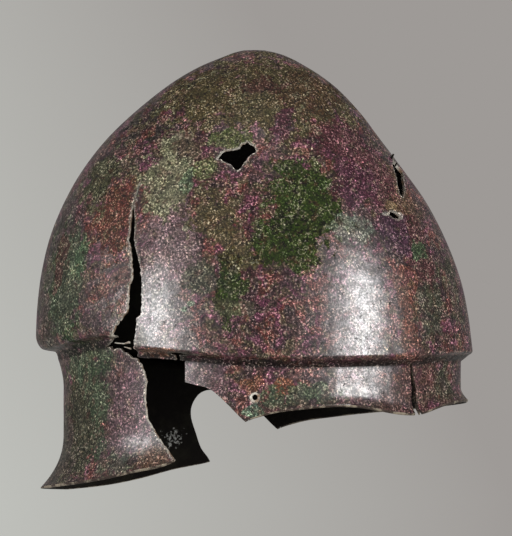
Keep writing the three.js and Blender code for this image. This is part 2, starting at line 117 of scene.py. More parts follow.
# Height of the rim, by the share of the way from the back to the front
RIM_AT = [-1, -0.9, -0.765, -0.64, -0.5, -0.3, 0.04, 0.13, 0.2, 0.31, 0.45, 0.6, 0.8, 1]
RIM_SHARES = [-0.008, 0.02, 0.061, 0.118, 0.203, 0.316, 0.722, 0.793, 0.831, 0.865, 0.903, 0.932,
              0.966, 1]

# Tears: the turn where each begins, its spread, its foot and height, and its outline in shares
LONG_CRACK = (115, 18, -8, 101, [
    (0.476, 1), (0.456, 0.877), (0.357, 0.8), (0.279, 0.673), (0.234, 0.635), (0.102, 0.522),
    (0.057, 0.433), (0.047, 0.338), (0.05, 0.265), (0.116, 0.252), (0.126, 0.177), (0.175, 0.085),
    (0.19, 0.06), (0.27, 0), (0.97, 0), (0.8, 0.045), (0.651, 0.075), (0.573, 0.095), (0.495, 0.172),
    (0.375, 0.244), (0.29, 0.285), (0.282, 0.367), (0.284, 0.424), (0.238, 0.476), (0.3, 0.59),
    (0.354, 0.66), (0.414, 0.682), (0.394, 0.705), (0.436, 0.8), (0.484, 0.877)])
BROW_SPLIT = (6, 20, 86.3, 23.3, [
    (0.04, 1), (0.16, 0.82), (0.09, 0.65), (0.5, 0.44), (0.66, 0.26), (0.98, 0), (1.02, 0.1),
    (0.9, 0.31), (0.7, 0.54), (0.52, 0.79)])
SIDE_HOLE = (83.5, 15.5, 100.9, 16.2, [
    (0.96, 0.39), (0.91, 0.51), (0.825, 0.655), (0.737, 0.69), (0.6, 0.73), (0.47, 0.785),
    (0.433, 0.9), (0.28, 1), (0.072, 0.83), (0.026, 0.705), (0.084, 0.595), (0.19, 0.53),
    (0.275, 0.39), (0.34, 0.27), (0.4, 0.095), (0.455, 0), (0.52, 0), (0.58, 0.09), (0.632, 0.18),
    (0.76, 0.26), (0.868, 0.36)])
BROW_PIT = (32.6, 6.4, 74.4, 4.8, [
    (1, 0.62), (0.78, 0.5), (0.62, 0.95), (0.4, 1), (0.16, 0.7), (0, 0.35), (0.2, 0), (0.55, 0.1),
    (0.76, 0.42)])
STEP_SLIT = (104, 8, -9, 8.6, [
    (0.2, 0), (0.34, 0), (0.36, 0.84), (0.6, 0.95), (0.34, 1), (-0.1, 0.99), (-0.5, 0.97),
    (-0.1, 0.93), (0.2, 0.86)])
GUARD_LOSS = (100, 34, 6, 76, [
    (-0.3, 1.4), (0.945, 1.4), (0.945, 0.93), (0.935, 0.9), (0.91, 0.885), (0.86, 0.9),
    (0.82, 0.895), (0.79, 0.87), (0.75, 0.867), (0.7, 0.83), (0.65, 0.827), (0.61, 0.79),
    (0.58, 0.74), (0.56, 0.685), (0.547, 0.66), (0.56, 0.61), (0.565, 0.53), (0.54, 0.4),
    (0.435, 0.283), (0.21, 0.105), (0.21, -0.3), (-0.3, -0.3)])
EAR = (86, 29, 17.7, 38.8, [
    (0.76, -0.8), (0.755, -0.12), (0.77, 0), (0.865, 0.155), (0.93, 0.345), (0.997, 0.595),
    (0.987, 0.775), (0.907, 0.935), (0.793, 0.995), (0.665, 0.97), (0.55, 0.93), (0.415, 0.875),
    (0.26, 0.7), (0.083, 0.452), (0.045, 0.41), (0.03, 0.38), (0.01, -0.8)])

# Tears of the dome again: how far the cutter reaches both ways, how rough its teeth are, their seed
DOME_TEARS = [
    (LONG_CRACK, 16.0, 0.7, 1),
    (BROW_SPLIT, 8.0, 0.7, 2),
    (SIDE_HOLE, 8.0, 0.7, 3),
    (BROW_PIT, 8.0, 0.5, 4),
    (STEP_SLIT, 9.0, 0.2, 8),
]

# Crack through the band: the edge behind it and the edge ahead of it, in shares from the top down
NOTCH_TURN = 34
NOTCH_SPREAD = 8
NOTCH_FOOT = 30
NOTCH_TALL = 40
NOTCH_BEYOND = 1.5
FOOT_CLEAR = 0.01
NOTCH_BEHIND = [(0.5, 1.2), (0.48, 0.85), (0.38, 0.55), (0.46, 0.35), (0.42, 0.19), (0.36, -0.4)]
NOTCH_AHEAD = [(0.42, 1.2), (0.36, 0.85), (0.16, 0.55), (0.12, 0.35), (0.04, 0.17), (0, -0.4)]

HINGE_TURN = 85.2
HINGE_HEIGHT = 47.2
HINGE_HOLE = 2.9
BURR_WIDE = 1.3
BURR_ROUGH = 0.16
BURR_GRAIN = 900
SMALL_FLATNESS = 0.6

# Slivers of metal: start, end, how thick at each, and the number of the look
SLIVERS = [
    ((-74.6, 66.8, 76.9), (-78.4, 61.4, 76.3), 0.8, 1.2, TORN),
    ((-78.4, 61.4, 76.3), (-80.4, 58.4, 77.0), 1.2, 2.0, TORN),
    ((-77.6, 61.4, 74.6), (-79.8, 57.8, 73.6), 0.7, 1.5, TORN),
    ((-12, -73.6, 173.5), (-12, -77.6, 181.6), 3.6, 1.6, INNER),
    ((-15, -75, 170.0), (-15, -79.6, 176.4), 3.0, 1.2, INNER),
]

# Where the bands and the guard begin and end, in degrees to the wearer's right from the front
BAND_END_TURN = 105.7
BAND_SPLIT_TURN = 253.0
GUARD_START_TURN = 100.0


# The surface of the sheet, for arrays of turns in degrees

def smooth_table(places, values, at):
    """A smooth curve through a table of places and values."""
    places = np.asarray(places, float)
    values = np.asarray(values, float)
    at = np.clip(at, places[0], places[-1])
    last = len(places) - 1
    before = np.maximum(np.arange(last + 1) - 1, 0)
    after = np.minimum(np.arange(last + 1) + 1, last)
    slopes = (values[after] - values[before]) / (places[after] - places[before])
    i = np.clip(np.searchsorted(places, at, side="right") - 1, 0, last - 1)
    step = places[i + 1] - places[i]
    u = (at - places[i]) / step
    start = (1 + 2 * u) * (1 - u) ** 2 * values[i] + u * (1 - u) ** 2 * step * slopes[i]
    return start + u * u * (3 - 2 * u) * values[i + 1] + u * u * (u - 1) * step * slopes[i + 1]


def ease(x):
    x = np.clip(x, 0, 1)
    return x * x * (3 - 2 * x)


def mix(a, b, x):
    return a + (b - a) * x


def heading(turn):
    """How far a turn points ahead, to the wearer's right, and behind."""
    angle = np.radians(turn)
    ahead = np.cos(angle)
    return ahead, np.sin(angle), np.maximum(0, -ahead)


def place(ahead, aside, height):
    return np.stack(np.broadcast_arrays(-aside, -ahead, height), axis=-1)


def edge_height(ahead):
    return EDGE_HEIGHT + EDGE_RISE * smooth_table(EDGE_AT, EDGE_RISES, ahead)


def step_drop(behind):
    return STEP_DROP + (STEP_REAR_DROP - STEP_DROP) * behind ** 2


def cove(behind):
    return COVE * behind ** 2


def waist(ahead):
    return np.where(ahead > 0, FRONT_WAIST, REAR_WAIST)


def tear_lift(turn, on_guard):
    """The sheet behind the long crack is bent up, and the guard stays up as far as its torn edge."""
    if on_guard:
        return TEAR_LIFT * smooth_table(GUARD_LIFT_TURNS, GUARD_LIFTS, turn)
    return TEAR_LIFT * smooth_table(DOME_LIFT_TURNS, DOME_LIFTS, np.mod(turn, 360))


def rim_height(turn):
    """The guard is twisted a little, and the band hangs down beside its crack on the right only."""
    ahead, aside, behind = heading(turn)
    rim = RIM_FRONT_HEIGHT * smooth_table(RIM_AT, RIM_SHARES, ahead)
    tilt = NECK_TILT * aside * ease((behind - TILT_FROM) / TILT_RISE) * ease((1 - behind) / TILT_FADE)
    dip_ahead = math.cos(math.radians(DIP_TURN))
    spread = np.where(ahead > dip_ahead, DIP_SPREAD_AHEAD, DIP_SPREAD_BEHIND)
    dip = np.where(ahead > 0, RIM_DIP * np.exp(-((ahead - dip_ahead) / spread) ** 2), 0)
    return rim - tilt - dip * ease(aside / DIP_FADE)


def dome_point(turn, share, on_guard=False):
    ahead, aside, behind = heading(turn)
    base = edge_height(ahead)
    lift = tear_lift(turn, on_guard) * (1 - share) ** TEAR_LIFT_CURVE
    height = mix(base, PEAK_HEIGHT, share) + lift
    tuck_share = REAR_TUCK_TALL / (PEAK_HEIGHT - EDGE_HEIGHT)
    tuck = REAR_TUCK * behind ** 2 * np.maximum(0, 1 - share / tuck_share) ** 2
    front = smooth_table(HEIGHTS, FRONTS, share)
    rear = smooth_table(HEIGHTS, REARS, share)
    reach = np.where(ahead > 0, FRONT_REACH * front, REAR_REACH * rear)
    drawn = 1 - tuck / REAR_REACH
    return place(reach * ahead * drawn, HALF_WIDTH * (front + rear) / 2 * aside * drawn, height)


def waist_point(turn, on_guard=False):
    ahead, aside, behind = heading(turn)
    height = edge_height(ahead) + tear_lift(turn, on_guard) - step_drop(behind)
    return place((waist(ahead) + cove(behind)) * ahead, (SIDE_WAIST + cove(behind)) * aside, height)


def step_point(turn, share, on_guard=False):
    behind = heading(turn)[2]
    edge = dome_point(turn, 0.0, on_guard)
    foot = waist_point(turn, on_guard)
    rearward = np.sqrt(behind)
    inward = mix(smooth_table(STEP_ALONG, STEP_FRONT_IN, share),
                 smooth_table(STEP_ALONG, STEP_REAR_IN, share), rearward)
    down = mix(smooth_table(STEP_ALONG, STEP_FRONT_DOWN, share),
               smooth_table(STEP_ALONG, STEP_REAR_DOWN, share), rearward)
    point = mix(edge, foot, inward[..., None])
    point[..., 2] = mix(edge[..., 2], foot[..., 2], down)
    return point


def skirt_point(turn, height, on_guard=False):
    ahead, aside, behind = heading(turn)
    guard = ease(behind / GUARD_BEHIND)
    tall = mix(BAND_FLARE_TALL, NECK_FLARE_TALL, guard)
    neck_flare = mix(NECK_SIDE_FLARE, NECK_FLARE, ahead * ahead)
    flare = mix(BAND_FLARE * np.maximum(0, ahead), neck_flare, guard)
    above = np.clip(1 - (height - rim_height(turn)) / tall, 0, FLARE_MOST)
    under = np.maximum(0, 1 - (waist_point(turn, on_guard)[..., 2] - height) / COVE_TALL)
    curve = mix(BAND_FLARE_CURVE, NECK_FLARE_CURVE, guard)
    out = flare * above ** curve + cove(behind) * np.minimum(1, under) ** 2
    return place((waist(ahead) + out) * ahead, (SIDE_WAIST + out) * aside, height)


def unit(ways):
    return ways / np.linalg.norm(ways, axis=-1, keepdims=True)


def outward(rows, closed):
    """Directions out of the sheet at each place of a grid of rows and columns."""
    down = np.gradient(rows, axis=0)
    if closed:
        along = np.roll(rows, -1, axis=1) - np.roll(rows, 1, axis=1)
    else:
        along = np.gradient(rows, axis=1)
    return unit(np.cross(along, down))


# Small unevenness that the whole sheet shares. It only goes inwards, so the size stays.
# A wave has its depth, size and seed. Heights are where a dent begins, is full, still full and ends.
HEAD_CENTRE = np.array([0.0, 0.0, 60.0])
WAVES = [(0.34, 34.0, 3.0), (0.16, 11.0, 17.0)]
REAR_DENT = np.array([-41.0, 107.5, 80.0])
REAR_DENT_REACH = np.array([9.0, 9.0, 13.0])
REAR_DENT_DEPTH = 1.5
FLAT_SPOT_WAY = np.array([-0.875, -0.485, 0.0])
FLAT_SPOT_REACH = 92.5
FLAT_SPOT_SHARE = 0.6
FLAT_SPOT_HEIGHTS = (45.0, 54.0, 65.0, 67.0)
BROW_CREASE_TURN = 38.5
BROW_CREASE_SPREAD = 1.6
BROW_CREASE_DEPTH = 0.1
BROW_CREASE_HEIGHTS = (30.0, 40.0, 92.0, 112.0)


def bump_field(points, size, seed):
    flat = points.reshape(-1, 3)
    values = [noise.noise(Vector(p) / size + Vector((seed, 0, 0))) for p in flat]
    return np.array(values).reshape(points.shape[:-1])


def within(height, start, full, still, end):
    """1 from one height to another, and 0 further off, with soft ends."""
    return ease((height - start) / (full - start)) * ease((end - height) / (end - still))


def uneven(points):
    """Moves the sheet in by up to half a millimetre, and further at the dents of back and band."""
    out = unit(points - HEAD_CENTRE)
    height = points[..., 2]
    depth = 0.0
    for deep, size, seed in WAVES:
        depth = depth + deep * (0.5 + 0.5 * bump_field(points, size, seed))
    away = np.linalg.norm((points - REAR_DENT) / REAR_DENT_REACH, axis=-1)
    depth = depth + REAR_DENT_DEPTH * np.exp(-away ** 4)
    proud = np.maximum(0, points @ FLAT_SPOT_WAY - FLAT_SPOT_REACH)
    depth = depth + FLAT_SPOT_SHARE * proud * within(height, *FLAT_SPOT_HEIGHTS)
    turn = np.degrees(np.arctan2(-points[..., 0], -points[..., 1]))
    crease = np.exp(-((turn - BROW_CREASE_TURN) / BROW_CREASE_SPREAD) ** 2)
    depth = depth + BROW_CREASE_DEPTH * crease * within(height, *BROW_CREASE_HEIGHTS)
    return points - out * depth[..., None]


# Bodies of sheet. Rows of the dome lie at lengths below its edge, then at shares of the step.
PROFILE_STEPS = 2000
DOME_COLUMNS = 360
DOME_ROWS = 146
DOME_ROWS_END = 3.0
EDGE_ROWS = [-2.0, -1.4, -1.0, -0.6, -0.2, 0.2, 0.6, 1.0, 1.4, 2.0, 3.0]
STEP_ROWS = [0.5, 0.62, 0.74, 0.86, 0.94]
STEP_CORNER_ROWS = [0.9, 1.0]
STEP_BULGE = 1.08
EDGE_ROUND = 1.5
INNER_CLEAR = 2.3
INNER_FINE = 6.0
INNER_DOME_EVERY = 3
INNER_SKIRT_EVERY = 2
RIM_STEPS = 6
BELOW_WAIST = 1.0
SAME_PLACE = 0.002


def dome_profile():
    """Shares of the dome's height down its surface, and the length from the peak to each."""
    shares = np.linspace(1, 0, PROFILE_STEPS)
    side, front = (dome_point(np.full(PROFILE_STEPS, turn), shares) for turn in (90.0, 0.0))
    steps = np.linalg.norm(np.diff((side + front) / 2, axis=0), axis=1)
    return shares, np.concatenate([[0], np.cumsum(steps)])


dome_shares, dome_run = dome_profile()
dome_long = dome_run[-1]


def section_point(turn, below):
    """A place at a distance below the sharp dome edge, negative up the dome."""
    if below <= 0:
        return dome_point(turn, float(np.interp(dome_long + below, dome_run, dome_shares)))
    span = STEP_BULGE * np.linalg.norm(dome_point(turn, 0.0) - waist_point(turn), axis=-1)
    return step_point(turn, np.minimum(1, below / span))


def rounded_section(turn, below):
    """The same with the dome edge rounded."""
    if abs(below) >= EDGE_ROUND:
        return section_point(turn, below)
    reach = (below * below + EDGE_ROUND * EDGE_ROUND) / (2 * EDGE_ROUND)
    return (section_point(turn, below - reach) + section_point(turn, below + reach)) / 2


def wall_rim(outer, inner, steps):
    """Rows that round the rim from the last outer row to the first inner row."""
    middle = (outer + inner) / 2
    across = (outer - inner) / 2
    down = np.zeros_like(across)
    down[..., 2] = -np.linalg.norm(across, axis=-1)
    rows = []
    for k in range(1, steps):
        angle = math.pi * k / steps
        rows.append(middle + across * math.cos(angle) + down * math.sin(angle))
    return rows


def sheet_body(name, rows, kinds):
    """A closed piece from a grid whose rows go down the outer face and back up the inner one.

    kinds gives the number of the look for each gap between two rows."""
    grid = np.array(rows) * MM
    down, along = grid.shape[0] - 1, grid.shape[1] - 1
    bm = bmesh.new()
    bmesh.ops.create_grid(bm, x_segments=along, y_segments=down, size=0.5)
    for face in bm.faces:
        gap = int((face.calc_center_median().y + 0.5) * down)
        face.material_index = kinds[min(gap, down - 1)]
    for vert in bm.verts:
        column = round((vert.co.x + 0.5) * along)
        row = round((vert.co.y + 0.5) * down)
        vert.co = Vector(grid[row, column])
    bmesh.ops.remove_doubles(bm, verts=bm.verts, dist=SAME_PLACE * MM)
    open_edges = [edge for edge in bm.edges if edge.is_boundary]
    if open_edges:
        filled = bmesh.ops.holes_fill(bm, edges=open_edges, sides=0)
        for face in filled["faces"]:
            face.material_index = RIM
        bmesh.ops.triangulate(bm, faces=filled["faces"])
    bmesh.ops.recalc_face_normals(bm, faces=bm.faces)
    return finished(bm, name, LOOKS)


def added(name, data):
    """A new object in the scene."""
    thing = bpy.data.objects.new(name, data)
    bpy.context.scene.collection.objects.link(thing)
    return thing


def finished(bm, name, looks):
    """Turns a bmesh into an object of the scene with its looks."""
    mesh = bpy.data.meshes.new(name)
    bm.to_mesh(mesh)
    bm.free()
    for look in looks:
        mesh.materials.append(look)
    return added(name, mesh)


def corner_way(step_out, skirt_out):
    """The way to the inner corner between the step and the skirt, as long as both walls need it."""
    corner = step_out + skirt_out
    return corner / np.sum(corner * skirt_out, axis=-1, keepdims=True)


def dome_outward(turns, outer):
    """Directions out of the dome, with the corner against the skirt in the last row."""
    out = outward(outer[:, :-1], True)
    out = np.concatenate([out, out[:, :1]], axis=1)
    foot = skirt_point(turns, waist_point(turns)[:, 2] - BELOW_WAIST) - outer[-1]
    out[-1] = corner_way(out[-1], unit(np.cross(np.gradient(outer[-1], axis=0), foot)))
    return out


def dome_body():
    turns = np.linspace(0, 360, DOME_COLUMNS + 1)
    below = [-up for up in np.linspace(dome_long, DOME_ROWS_END, DOME_ROWS)][1:] + EDGE_ROWS
    outer = [rounded_section(turns, length) for length in below]
    outer += [step_point(turns, np.full(len(turns), share)) for share in STEP_ROWS]
    outer = np.array([*outer, waist_point(turns)])
    inner = outer - dome_outward(turns, outer) * WALL
    keep = [k for k, length in enumerate(below)
            if abs(length) > INNER_CLEAR and (k % INNER_DOME_EVERY == 0 or length > -INNER_FINE)]
    keep += range(len(below), len(outer))
    peak = np.zeros_like(outer[0]) + np.array([0, 0, PEAK_HEIGHT])
    inner_peak = peak - np.array([0, 0, WALL])
    rows = uneven(np.array([peak, *outer, *inner[keep][::-1], inner_peak]))
    kinds = [OUTER] * len(outer) + [RIM] + [INNER] * len(keep)
    return sheet_body("dome_sheet", rows, kinds)


def skirt_body(name, start, end, columns, fine, on_guard):
    """A length of band or neck guard, from the waist to its rounded rim, in fine rows outside."""
    turns = np.linspace(start, end, columns + 1)
    top = waist_point(turns, on_guard)[:, 2]
    rim = rim_height(turns) + WALL / 2
    shares = np.linspace(0, 1, fine + 1)
    outer = np.array([skirt_point(turns, mix(top, rim, share), on_guard) for share in shares])
    out = outward(outer, False)
    step = [step_point(turns, np.full(len(turns), share), on_guard) for share in STEP_CORNER_ROWS]
    out[0] = corner_way(outward(np.array(step), False)[-1], out[0])
    inner = outer - out * WALL
    keep = [k for k in range(len(shares)) if k % INNER_SKIRT_EVERY == 0 or k == fine]
    ends = wall_rim(outer[-1], inner[-1], RIM_STEPS)
    rows = uneven(np.array([*outer, *ends, *inner[keep][::-1], outer[0]]))
    kinds = [OUTER] * fine + [RIM] * RIM_STEPS + [INNER] * (len(keep) - 1) + [RIM]
    rows[..., 2] = np.maximum(rows[..., 2], 0)
    return sheet_body(name, rows, kinds)


# Tears. The way out of the sheet is found from small steps along it.
TURN_STEP = 0.5
SHARE_STEP = 0.03
LOWEST_SHARE = 0.06
SKIRT_LEVELS = (EDGE_HEIGHT / 3, EDGE_HEIGHT * 0.8)
DEGREE_LONG = 1.9
CUT_DEEP = 8.0
TOOTH_TURN_SCALE = 1.3
TOOTH_HEIGHT_SCALE = 0.9
CORNER_ROUGH = 0.3
OTHER_NOISE = Vector((9, 4, 2))

# What is noted at each place: reach of the worn metal and painted highlight by a tear, grooves for the
# painted shade, and the strip by the rim
WORN_GLINT_REACH = 0.35
GROOVE_BELOW = 0.6
GROOVE_FADE = 1.8
SKIRT_GROOVE_BELOW = 0.2
SKIRT_GROOVE_FADE = 1.2
STRIP_TALL = 6.75
STRIP_FADE = 4.5
SHARP_ANGLE = 38


def on_dome(turn, rise):
    """A place on the dome by its rise above the edge, and the way out of the sheet there."""
    share = rise / (PEAK_HEIGHT - EDGE_HEIGHT)
    point = dome_point(turn, max(0.0, share))
    if rise < 0:
        point[2] += rise
    square = max(share, LOWEST_SHARE)
    along = dome_point(turn + TURN_STEP, square) - dome_point(turn - TURN_STEP, square)
    down = dome_point(turn, square - SHARE_STEP) - dome_point(turn, square + SHARE_STEP)
    return point, unit(np.cross(along, down))


def on_skirt(turn, height):
    """The same on the band and the guard, by height."""
    level = np.clip(height, *SKIRT_LEVELS)
    point = skirt_point(turn, np.maximum(height, rim_height(turn)))
    point[2] = height
    along = skirt_point(turn + TURN_STEP, level) - skirt_point(turn - TURN_STEP, level)
    return point, unit(np.cross(along, np.array([0, 0, -1.0])))


def outline_of(tear):
    turn, spread, foot, tall, shares = tear
    return [(turn + across * spread, foot + up * tall) for across, up in shares]


def ragged(outline, every, rough, seed):
    """Adds small teeth along an outline of turns and heights, and moves its corners a little."""
    made = []
    for k, (turn, height) in enumerate(outline):
        next_turn, next_height = outline[(k + 1) % len(outline)]
        run = math.hypot((next_turn - turn) * DEGREE_LONG, next_height - height)
        count = max(1, round(run / every))
        for j in range(count):
            here = mix(turn, next_turn, j / count)
            level = mix(height, next_height, j / count)
            at = Vector((here * TOOTH_TURN_SCALE, level * TOOTH_HEIGHT_SCALE, seed))
            push = rough if j else rough * CORNER_ROUGH
            made.append((here + push * noise.noise(at) / DEGREE_LONG,
                         level + push * noise.noise(at + OTHER_NOISE)))
    return made


def rounded(outline, steps):
    """A smooth outline through the given places."""
    count = len(outline)
    made = []
    for k in range(count):
        a, b, c, d = (Vector(outline[(k + j) % count]) for j in (-1, 0, 1, 2))
        if k in (0, count - 2, count - 1):
            made.append(tuple(b))
            continue
        for j in range(steps):
            t = j / steps
            at = 0.5 * (2 * b + (c - a) * t + (2 * a - 5 * b + 4 * c - d) * t * t
                        + (3 * b - a - 3 * c + d) * t ** 3)
            made.append(tuple(at))
    return made


def tear_cutter(outline, guide, look, outwards=CUT_DEEP, inwards=CUT_DEEP):
    """A solid with the outline of a tear, standing square to the sheet.

    guide gives the place of a turn and height on the sheet, and the way out there."""
    bm = bmesh.new()
    number = bm.verts.layers.int.new("number")
    sides = [guide(turn, height) for turn, height in outline]
    for k, (turn, height) in enumerate(outline):
        vert = bm.verts.new((turn * DEGREE_LONG, height, 0))
        vert[number] = k
    outline_face = bm.faces.new(bm.verts)
    lid = bmesh.ops.triangulate(bm, faces=[outline_face])["faces"]
    made = bmesh.ops.extrude_face_region(bm, geom=lid, use_keep_orig=True)["geom"]
    inner = {vert for vert in made if isinstance(vert, bmesh.types.BMVert)}
    for vert in bm.verts:
        point, out = sides[vert[number]]
        vert.co = Vector(point - out * inwards if vert in inner else point + out * outwards) * MM
    bm.normal_update()
    bmesh.ops.recalc_face_normals(bm, faces=bm.faces)
    return finished(bm, "cutter", [look])


def cut(piece, cutters):
    """Cuts the tears out of a piece and clears the cutters away."""
    for cutter in cutters:
        step = piece.modifiers.new("tear", "BOOLEAN")
        step.operation = "DIFFERENCE"
        step.solver = "MANIFOLD"
        step.object = cutter
        step.material_mode = "TRANSFER"
    bpy.context.view_layer.update()
    graph = bpy.context.evaluated_depsgraph_get()
    mesh = bpy.data.meshes.new_from_object(piece.evaluated_get(graph), depsgraph=graph)
    old = piece.data
    piece.modifiers.clear()
    piece.data = mesh
    mesh.name = old.name
    bpy.data.meshes.remove(old)
    for cutter in cutters:
        bpy.data.meshes.remove(cutter.data)


def joined(piece, extras):
    """Adds small solids of the same piece to its mesh."""
    bm = bmesh.new()
    for part in (piece, *extras):
        bm.from_mesh(part.data)
    bm.to_mesh(piece.data)
    bm.free()
    for part in extras:
        bpy.data.meshes.remove(part.data)


def turns_of(points):
    return np.degrees(np.arctan2(-points[:, 0] / HALF_WIDTH, -points[:, 1] / REAR_REACH))


def groove_of_dome(points):
    """1 for places in the groove under the dome edge, and 0 for those above it."""
    turns = turns_of(points)
    edge = edge_height(np.cos(np.radians(turns))) + tear_lift(turns, False)
    return ease((edge - points[:, 2] - GROOVE_BELOW) / GROOVE_FADE)


def groove_of_skirt(points, on_guard):
    """1 for places right under the step, and 0 for those further down."""
    turns = np.mod(turns_of(points), 360)
    under = waist_point(turns, on_guard)[:, 2] - points[:, 2]
    return ease(1 - (under - SKIRT_GROOVE_BELOW) / SKIRT_GROOVE_FADE)


def strip_of_skirt(points):
    """How near each place lies to the rim, where the sheet is bare and brown."""
    return ease((STRIP_TALL - points[:, 2] + rim_height(turns_of(points))) / STRIP_FADE)


def no_strip(points):
    """The dome and the neck guard have no such strip."""
    return np.zeros(len(points))


def finish(piece, groove, strip):
    """Keeps cuts crisp, and notes where the sheet is torn, in the groove or in the strip by the rim."""
    mesh = piece.data
    near = set()
    for face in mesh.polygons:
        if mesh.materials[face.material_index] == torn_edge:
            near.update(face.vertices)
    tree = kdtree.KDTree(len(near))
    for k in near:
        tree.insert(mesh.vertices[k].co, k)
    tree.balance()
    points = np.empty(3 * len(mesh.vertices))
    mesh.vertices.foreach_get("co", points)
    points = points.reshape(-1, 3) / MM
    # Nearness to a tear, for pale worn metal with a painted highlight along the torn edges.
    worn_glint = [math.exp(-(tree.find(vert.co)[2] / (WORN_GLINT_REACH * MM)) ** 2) for vert in mesh.vertices]
    for name, values in (("worn_glint", worn_glint), ("groove", groove(points)), ("strip", strip(points))):
        mesh.attributes.new(name, "FLOAT", "POINT").data.foreach_set("value", values)
    mesh.shade_smooth()
    mesh.set_sharp_from_angle(angle=math.radians(SHARP_ANGLE))


# Looks

def operators(kind):
    """An operator for values and its reflected form, which add a Math node."""
    def forward(self, other):
        return self.sheet.math(kind, self, other)

    def reflected(self, other):
        return self.sheet.math(kind, other, self)

    return forward, reflected


class Value:
    """A shader value that Python's own sums can use."""

    __add__, __radd__ = operators("ADD")
    __sub__, __rsub__ = operators("SUBTRACT")
    __mul__, __rmul__ = operators("MULTIPLY")
    __pow__, __rpow__ = operators("POWER")

    def __init__(self, sheet, socket):
        self.sheet = sheet
        self.socket = socket

    def __abs__(self):
        return self.sheet.math("ABSOLUTE", self)


class Sheet:
    """A node tree that values are drawn in."""

    def __init__(self, tree):
        self.tree = tree

    def node(self, kind, settings, inputs, output=0):
        """Adds a node with its settings and what feeds its sockets, and gives one of its outputs."""
        node = self.tree.nodes.new("ShaderNode" + kind)
        for name, setting in settings.items():
            setattr(node, name, setting)
        for name, source in inputs.items():
            self.feed(node.inputs[name], source)
        return None if output is None else Value(self, node.outputs[output])

    def feed(self, socket, source):
        if isinstance(source, Value):
            self.tree.links.new(source.socket, socket)
        elif socket.type == "RGBA":
            socket.default_value = (*rgb(source), 1)
        else:
            socket.default_value = source

    def math(self, kind, *inputs):
        return self.node("Math", {"operation": kind}, dict(enumerate(inputs)))

    def vector(self, kind, *inputs, output=0):
        return self.node("VectorMath", {"operation": kind}, dict(enumerate(inputs)), output)

    def grain(self, at, size, detail=2.0, rough=0.5, seed=0.0, output=0):
        """Noise from 0 to 1, with lumps of a size in millimetres."""
        settings = {"noise_dimensions": "4D" if seed else "3D"}
        sizes = {"Vector": at, "Scale": 1 / (size * MM), "Detail": detail, "Roughness": rough}
        if seed:
            sizes["W"] = seed
        return self.node("TexNoise", settings, sizes, output)

    def ramp(self, value, low, high, smooth=True):
        """From 0 at low to 1 at high, which may be the smaller one."""
        settings = {"interpolation_type": "SMOOTHSTEP" if smooth else "LINEAR", "clamp": not smooth}
        return self.node("MapRange", settings, {"Value": value, "From Min": low, "From Max": high})

    def blend(self, share, below, above, kind="MIX"):
        settings = {"data_type": "RGBA", "blend_type": kind}
        return self.node("Mix", settings, {0: share, 6: below, 7: above}, 2)

    def tinted(self, colour, value):
        """A colour times a value."""
        grey = self.node("CombineColor", {}, {0: value, 1: value, 2: value})
        return self.blend(1.0, colour, grey, "MULTIPLY")

    def painted(self, name):
        """A value kept at each vertex of the piece."""
        return self.node("Attribute", {"attribute_name": name}, {}, 2)

    def places(self):
        return self.node("TexCoord", {}, {}, 3)

    def moved(self, at, shift=(0, 0, 0), turn=(0, 0, 0), stretch=(1, 1, 1)):
        inputs = {"Vector": at, "Location": shift, "Rotation": turn, "Scale": stretch}
        return self.node("Mapping", {}, inputs)

    def bump(self, height, deep, normal=None):
        inputs = {"Strength": 1.0, "Distance": deep * MM, "Height": height}
        if normal is not None:
            inputs["Normal"] = normal
        return self.node("Bump", {}, inputs)


class Look(Sheet):
    """A material and the nodes that draw it."""

    def __init__(self, name, colour, roughness):
        self.material = bpy.data.materials.new(name)
        self.material.use_nodes = True
        self.material.diffuse_color = (*rgb(colour), 1)
        super().__init__(self.material.node_tree)
        self.shader = self.tree.nodes["Principled BSDF"]
        self.set("Base Color", colour)
        self.set("Roughness", roughness)

    def set(self, name, source):
        self.feed(self.shader.inputs[name], source)


def rgb(colour):
    """Linear colour from written red, green and blue up to 255."""
    shares = [part / 255 for part in colour]
    return tuple(s / 12.92 if s <= 0.04045 else ((s + 0.055) / 1.055) ** 2.4 for s in shares)


def vivid(colour):
    """A written colour made stronger, because the pale grain over it weakens it."""
    middle = sum(colour) / 3
    return tuple(max(middle + VIVID * (part - middle), 0) for part in colour)


# A stain or crust, and also a few painted highlights, shades and reflections, as a row: where it is, how
# far it reaches, its colour, how dense and how matt it is, how torn its edge is, and how far it leans
Patch = namedtuple("Patch", "centre reach colour dense matt lace tilt", defaults=(0.0, 0.5, 0.0))
VIVID = 1.35
PATCH_TEAR = 3.4
PATCH_EDGE = (1.06, 0.88)
PATCH_DRIFT = 10.0

# Colours of the stains and crusts
OLIVE = (90, 82, 56)
PALE_CRUST = (142, 141, 118)
FRESH_GREEN = (99, 106, 70)
DEEP_GREEN = (54, 71, 29)
GREY_GREEN = (84, 94, 76)
DULL_GREEN = (64, 71, 54)
SEA_GREEN = (70, 88, 64)
DRY_CRUST = (97, 95, 75)
CRIMSON = (92, 47, 58)
MAGENTA = (90, 44, 66)
DARK_RED = (72, 38, 37)
BRICK = (84, 43, 47)
PURPLE = (76, 42, 64)
ORANGE = (136, 86, 58)
DUSTY_BROWN = (94, 62, 59)
DARK_BROWN = (66, 42, 42)

# Colours of the skin and of the small marks on it, with the painted highlight by the tears and the
# painted shade in the groove
SKIN = (95, 66, 66)
DARK_SKIN = (74, 46, 46)
PALE_SKIN = (95, 66, 62)
FLECK = (180, 164, 140)
WORM = (168, 164, 132)
PIT = (24, 17, 15)
STRIP = (82, 50, 42)
WORN_METAL_GLINT = (200, 192, 178)
GROOVE_SHADE = (16, 12, 11)
GRAIN_TIP = (168, 156, 146)

